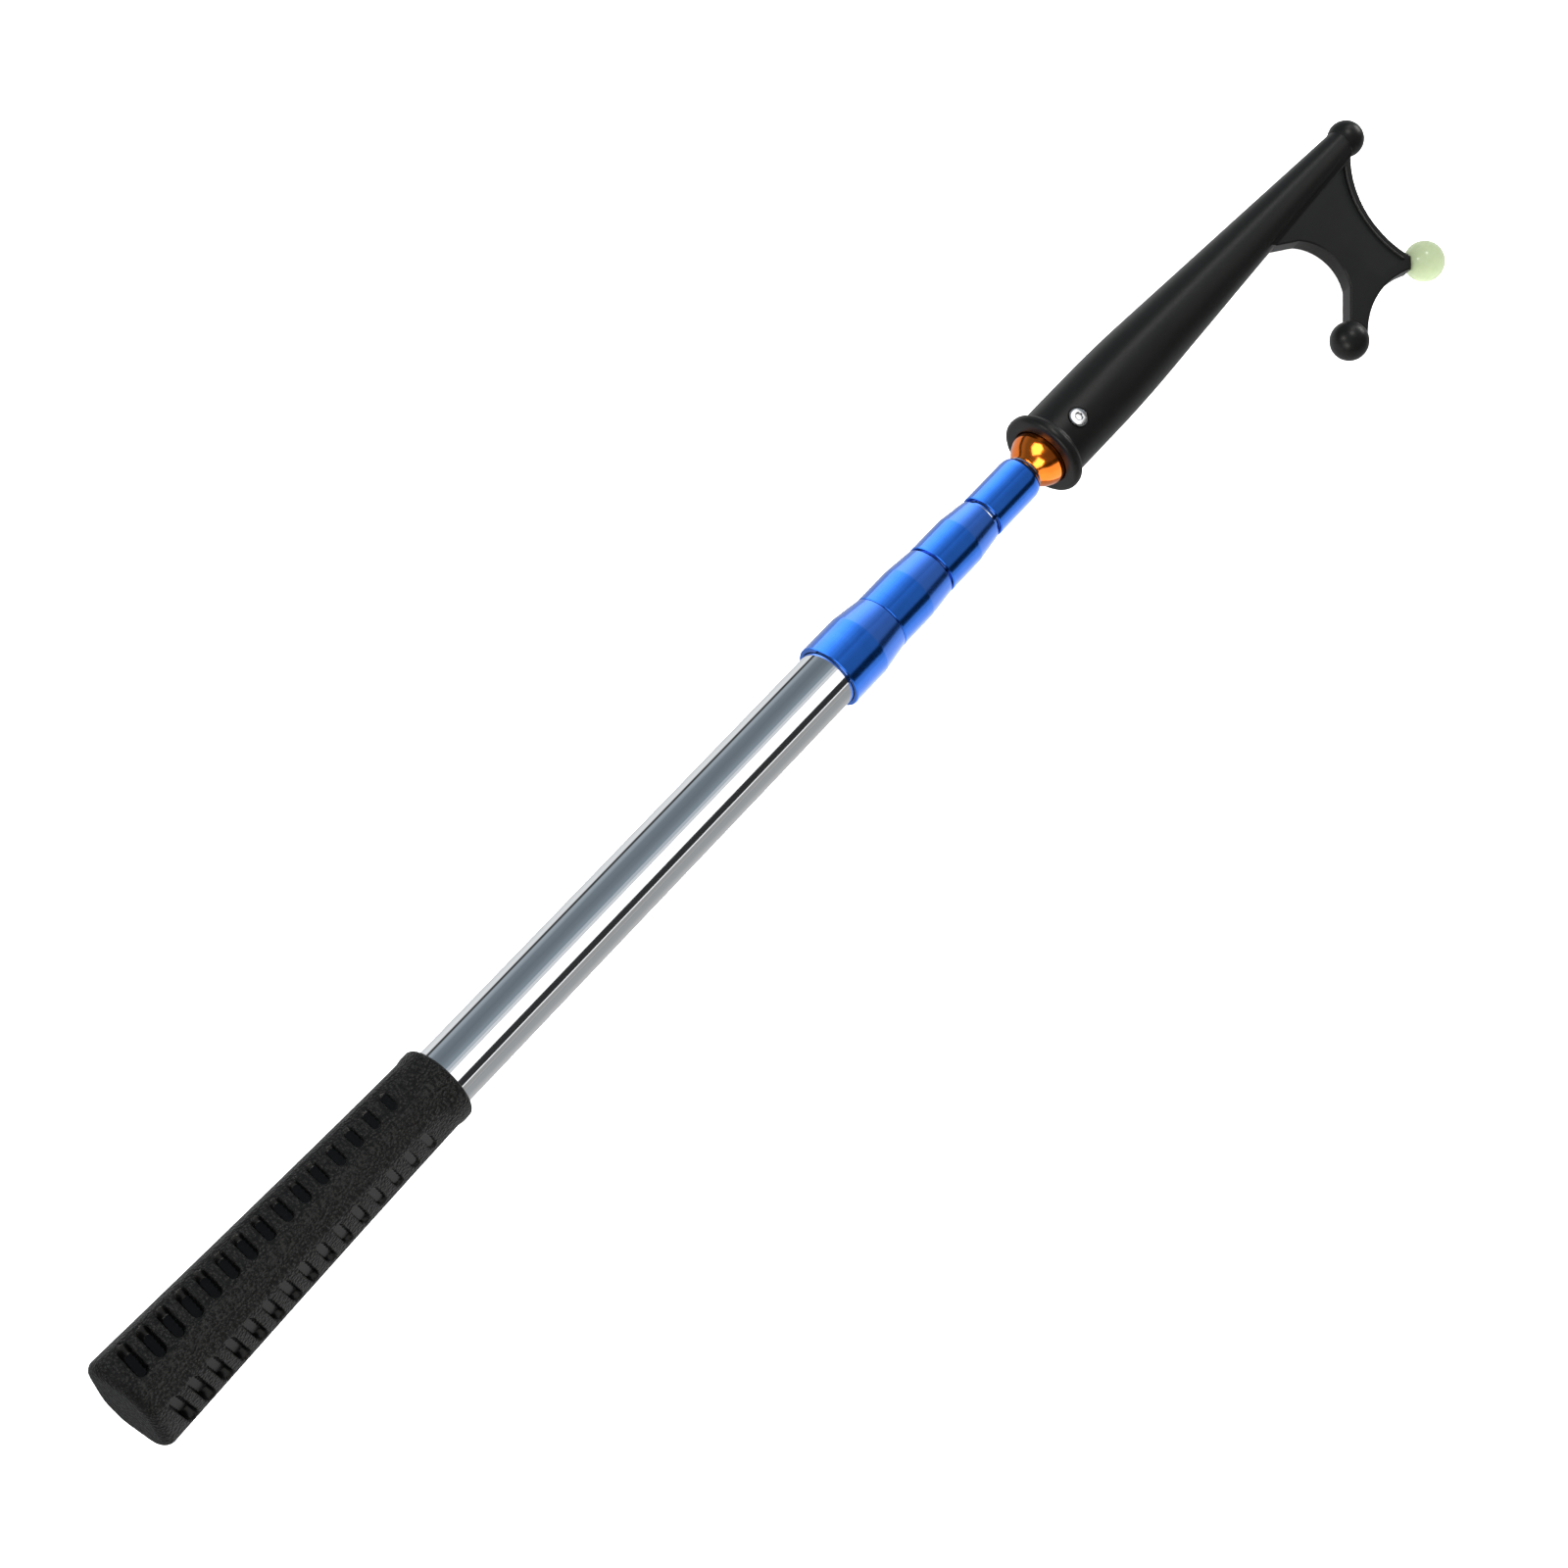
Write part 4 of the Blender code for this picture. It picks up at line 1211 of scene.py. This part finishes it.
def grip_grid():
    """Every vertex of the sleeve as an array, and how grainy each one is."""
    angle = np.linspace(0.0, 360.0, COLUMNS, endpoint=False)
    radii = []
    places = []
    grains = []
    for share in (0.2, 0.5, 0.8):
        radii.append((band_radius(0.0) - BUTT_ROUND) * np.full(COLUMNS, share))
        places.append(0.0)
        grains.append(np.full(COLUMNS, END_GRAIN))
    for x, pull in outer_rows():
        radius = section(x, angle)
        depth = pocket_depth(x, angle, radius)
        radii.append(radius - pull - depth)
        places.append(x)
        etched = 1.0 + (END_GRAIN - 1.0) * max(0.0, 1.0 - x / BUTT_DEPTH)
        grains.append((1.0 - smooth(depth / GRAIN_FADE)) * etched)
    bore_rows = [(GRIP_LENGTH, GRIP_BORE + BORE_CHAMFER), (GRIP_LENGTH - BORE_CHAMFER, GRIP_BORE)]
    bore_rows += [(GRIP_END_WALL, GRIP_BORE), (GRIP_END_WALL, GRIP_BORE * 0.5)]
    for x, radius in bore_rows:
        radii.append(np.full(COLUMNS, radius))
        places.append(x)
        grains.append(np.zeros(COLUMNS))
    turn = np.radians(angle + GRIP_ROLL)
    radii = np.array(radii)
    x = np.repeat(np.array(places)[:, None], COLUMNS, axis=1)
    grid = np.stack([x, radii * np.cos(turn), radii * np.sin(turn)], axis=2)
    return grid, np.array(grains)


def grip_sleeve():
    grid, grains = grip_grid()
    rows = len(grid)
    points = grid.reshape(-1, 3).tolist() + [[0.0, 0.0, 0.0], [GRIP_END_WALL, 0.0, 0.0]]
    index = np.arange(rows * COLUMNS).reshape(rows, COLUMNS)
    after = np.roll(index, -1, axis=1)
    quads = np.stack([index[:-1], index[1:], after[1:], after[:-1]], axis=2).reshape(-1, 4).tolist()
    butt_cap = [[rows * COLUMNS, a, b] for a, b in zip(index[0].tolist(), after[0].tolist())]
    bore_cap = [[rows * COLUMNS + 1, b, a] for a, b in zip(index[-1].tolist(), after[-1].tolist())]
    mesh = bpy.data.meshes.new("pocketed_grip")
    mesh.from_pydata(points, [], quads + butt_cap + bore_cap)
    attribute = mesh.attributes.new("grain", "FLOAT", "POINT")
    attribute.data.foreach_set("value", np.append(grains.ravel(), [END_GRAIN, 0.0]).astype(np.float32))
    return place(mesh, "pocketed_grip")


grip = piece(grip_sleeve(), GRIP)


# %% [markdown]
# ## Pieces that stay as they are
# The plugs, bushes, rings, washers and screws inside the pole already have their right
# shapes. They keep their solids and get the finish of their slot, with a fine Bevel modifier
# so that their edges are broken like real ones.

# %% Finish the inner pieces
for node, made in frame["nodes"].items():
    if made.hide_render:
        continue
    give_finish(made, node)
    edges = made.modifiers.new("broken_edges", "BEVEL")
    edges.width = 0.12 * MM
    edges.segments = 2
    edges.limit_method = "ANGLE"
    edges.angle_limit = SHARP
print("inner pieces:", sum(not made.hide_render for made in frame["nodes"].values()))


# %% [markdown]
# ## The floor
# A plain pale sheet lies just under the pole. It is bright enough that the soft shadows
# stay faint. Glossy rays pass through it, so that the bright metal mirrors the studio.

# %% Floor
FLOOR_HALF = 2.5
FLOOR_GAP = 0.0002


def pale_floor():
    paint = new_finish("pale_floor", {"Roughness": 0.9, "Specular IOR Level": 0.1})
    tone = paint.noise(paint.spot(), 3.0, 2.0)
    paint.feed(paint.shader, {"Base Color": paint.mix(tone, (0.90, 0.90, 0.90), (0.92, 0.92, 0.92))})
    shape = bmesh.new()
    bmesh.ops.create_grid(shape, x_segments=1, y_segments=1, size=FLOOR_HALF)
    made = solid(shape, "floor")
    made.location = ((cad_box[0].x + cad_box[1].x) / 2, 0.0, cad_box[0].z - FLOOR_GAP)
    made.data.materials.append(paint.material)
    made.visible_glossy = False
    made.visible_shadow = False
    return made


floor = pale_floor()


# %% [markdown]
# ## The studio round the pole
# A polished tube shows nothing but the room. A product studio puts white cards, grey walls
# and a black flag round it, and their edges run along the pole as crisp bands. Here the
# world does that for glossy rays: its brightness depends only on the angle round the X axis,
# measured from straight up towards the hook's side. Each row of `WALLS` is such an angle in
# degrees, a brightness, and how cold the light is. Other rays see an even pale dome.

# %% World
WALLS = [
    (-180.0, 0.60, 0.2),
    (-122.0, 0.80, 0.1),
    (-112.5, 0.78, 0.1),
    (-109.5, 0.05, 0.1),
    (-101.5, 0.05, 0.3),
    (-96.0, 0.42, 0.7),
    (-88.0, 0.36, 0.8),
    (-76.0, 0.21, 1.0),
    (-52.0, 0.175, 1.0),
    (-36.0, 0.20, 1.0),
    (-24.0, 0.26, 1.0),
    (-10.0, 0.30, 1.0),
    (0.0, 0.22, 0.7),
    (8.0, 0.14, 0.2),
    (40.0, 0.14, 0.2),
    (46.0, 0.03, 0.2),
    (84.0, 0.03, 0.2),
    (90.0, 0.34, 0.2),
    (112.0, 0.36, 0.2),
    (140.0, 0.50, 0.0),
    (180.0, 0.60, 0.2),
]
WARM = Vector((1.0, 1.0, 1.0))
COLD = Vector((0.83, 1.0, 1.16))
AMBIENT = 0.80


def studio_world():
    world = bpy.data.worlds.new("studio")
    bpy.context.scene.world = world
    world.use_nodes = True
    sky = Graph(world.node_tree)
    direction = sky.add("ShaderNodeTexCoord", output=0)
    sideways = sky.axis(direction, 1) * -1.0
    upwards = sky.axis(direction, 2)
    turn = sky.maths("ARCTAN2", sideways, upwards) / math.tau + 0.5
    stops = [((angle + 180.0) / 360.0, WARM.lerp(COLD, cold) * light) for angle, light, cold in WALLS]
    walls = sky.ramp(turn, stops)
    camera = sky.add("ShaderNodeLightPath", output=0)
    glossy = sky.add("ShaderNodeLightPath", output=3)
    seen = sky.mix(glossy, (AMBIENT, AMBIENT, AMBIENT), walls)
    seen = sky.mix(camera, seen, (1.0, 1.0, 1.0))
    sky.feed(world.node_tree.nodes["Background"], {"Color": seen})
    return world


studio_world()


# %% [markdown]
# ## Soft lights
# One large soft light hangs above and lights everything evenly. Smaller cards give the
# pieces their own highlights. Light linking lets a card reach only the pieces it is meant
# for, as if a flag stood in front of everything else.

# %% Lights
POLE_X = 0.38
CARD_DISTANCE = 1.2


def soft_light(name, spot, turn, length, width, light, receivers=None):
    """An area light whose brightness is given per area, for all pieces or for some."""
    data = bpy.data.lights.new(name, "AREA")
    data.shape = "RECTANGLE"
    data.size = length
    data.size_y = width
    data.energy = light * math.pi * length * width
    made = place(data, name)
    made.matrix_world = Matrix.Translation(spot) @ turn.to_4x4()
    made.visible_camera = False
    if receivers:
        group = bpy.data.collections.new(f"{name}_receivers")
        for receiver in receivers:
            group.objects.link(receiver)
        made.light_linking.receiver_collection = group
    return made


def card(name, reach, first, last, length, light, receivers=None):
    """A long card along the pole, between two angles from straight up to the hook's side."""
    turn = math.radians((first + last) / 2)
    half = math.radians((last - first) / 2)
    outwards = Vector((0.0, -math.sin(turn), math.cos(turn)))
    along = Vector((1.0, 0.0, 0.0))
    aim = Matrix((along, outwards.cross(along), outwards)).transposed()
    spot = along * reach + outwards * CARD_DISTANCE
    width = 2 * CARD_DISTANCE * math.tan(half)
    return soft_light(name, spot, aim, length, width, light, receivers)


def window(name, target, direction, length, width, light, receivers):
    """A soft window in a direction from a target."""
    outwards = Vector(direction).normalized()
    spot = Vector(target) + outwards * CARD_DISTANCE
    turn = outwards.to_track_quat("Z", "Y").to_matrix()
    return soft_light(name, spot, turn, length, width, light, receivers)


overhead = card("overhead", POLE_X, -33.0, 57.0, 3.2, 1.1)
overhead.visible_glossy = False
wash = card("floor_wash", POLE_X, -60.0, 60.0, 5.0, 4.2, [floor])
wash.visible_glossy = False
shield = bpy.data.collections.new("floor_wash_blockers")
shield.objects.link(floor)
wash.light_linking.blocker_collection = shield

# The bright tubes: a white card above, and a grey one low on the hook's side.
card("tube_top_card", 1.4, 4.5, 41.5, 6.0, 1.3, tubes)
card("tube_brow_card", 1.4, -15.0, 4.5, 6.0, 0.20, tubes)
card("tube_glint_card", 1.4, -5.0, 4.5, 6.0, 0.28, tubes)
card("tube_edge_card", 1.4, 65.5, 69.5, 6.0, 0.70, tubes)
card("tube_side_card", 1.4, 65.5, 87.0, 6.0, 0.31, tubes)

# The blue collars: brightest level with them on the far side, then ever weaker upwards.
blues = collars + [tip_cap]
FAR_CARDS = {-70.0: 0.37, -58.0: 0.50, -48.0: 0.40, -36.0: 0.36, -24.0: 0.27, -10.0: 0.20}
for edge, light in FAR_CARDS.items():
    card(f"collar_far_card_to_{-edge:.0f}", 1.0, -114.0, edge, 5.0, light, blues)
card("collar_top_card", 1.0, -12.0, 43.0, 5.0, 0.33, blues)
card("collar_low_card", 1.0, 70.0, 165.0, 5.0, 0.92, blues)

# The grip: a pale card above, and a bright strip that the pockets' smooth end walls mirror.
card("grip_top_card", 0.3, 0.0, 32.0, 3.0, 0.75, [grip])
card("grip_wall_strip", 0.3, -12.0, -7.0, 3.0, 15.0, [grip])
card("grip_side_card", 0.3, 92.0, 135.0, 3.0, 0.70, [grip])

# The hook and what is near it: a strip along the taper, and windows for the balls.
HIGH = (0.12, 0.35, 0.93)
FAR = (-0.65, 0.55, 0.49)
ball_target = (TIP_X, -30.0 * MM, 0.0)
collar_target = (start_of("collar_1"), 0.0, 0.0)
card("hook_strip", 2.0, -42.0, -30.0, 1.5, 3.2, [nylon_hook])
window("high_window", ball_target, HIGH, 0.18, 0.16, 30.0, [nylon_hook])
window("far_window", ball_target, FAR, 0.16, 0.18, 26.0, [nylon_hook])
window("glow_high_window", ball_target, HIGH, 0.16, 0.15, 20.0, [glow])
window("glow_far_window", ball_target, FAR, 0.15, 0.16, 16.0, [glow])
window("end_window", ball_target, (0.95, -0.05, 0.30), 0.5, 0.35, 8.0, [nylon_hook])
window("butt_window", ball_target, (-0.90, -0.1, 0.40), 0.5, 0.30, 6.0, [nylon_hook])
window("collar_edge_window", collar_target, (-0.86, 0.0, 0.43), 0.8, 0.5, 1.6, blues)

# The adapter and the screw: two square windows make the yellow patches.
cone_target = (start_of(HEAD), 0.0, 0.0)
window("cone_window_1", cone_target, (-0.42, 0.47, 0.78), 0.75, 0.70, 4.6, [orange_adapter])
window("cone_window_2", cone_target, (-0.76, -0.20, 0.61), 0.60, 0.50, 4.6, [orange_adapter])
card("adapter_side_card", 0.0, 60.0, 125.0, 2.5, 1.3, [orange_adapter])
card("screw_card", 1.2, -35.0, 25.0, 1.8, 1.5, [button_screw])


# %% [markdown]
# ## The camera
# It stands above the butt and looks along the pole, 25 degrees off straight down. It rolls
# so that the pole runs from the lower left to the upper right.

# %% Camera
CAMERA_PLACE = Vector((-0.238, 0.0, 1.244))
CAMERA_TILT = math.radians(25.0)
CAMERA_YAW = math.radians(0.66540)
CAMERA_ROLL = math.radians(46.16682)
CAMERA_LENS = 82.53


def add_camera():
    data = bpy.data.cameras.new("camera")
    data.lens = CAMERA_LENS
    data.sensor_width = 36.0
    data.clip_start = 0.05
    made = place(data, "camera")
    pole = Vector((math.cos(CAMERA_TILT), 0.0, math.sin(CAMERA_TILT)))
    down = Vector((math.sin(CAMERA_TILT), 0.0, -math.cos(CAMERA_TILT)))
    side = Vector((0.0, 1.0, 0.0))
    look = down * math.cos(CAMERA_YAW) - side * math.sin(CAMERA_YAW)
    across = side * math.cos(CAMERA_YAW) + down * math.sin(CAMERA_YAW)
    right = pole * math.cos(CAMERA_ROLL) - across * math.sin(CAMERA_ROLL)
    up = pole * math.sin(CAMERA_ROLL) + across * math.cos(CAMERA_ROLL)
    turn = Matrix((right, up, -look)).transposed().to_4x4()
    made.matrix_world = Matrix.Translation(CAMERA_PLACE) @ turn
    bpy.context.scene.camera = made
    return made


add_camera()
bpy.context.scene.view_settings.view_transform = "Standard"


# %% [markdown]
# ## Sizes and the end
# The finished pieces have to fill the same box as the working model.
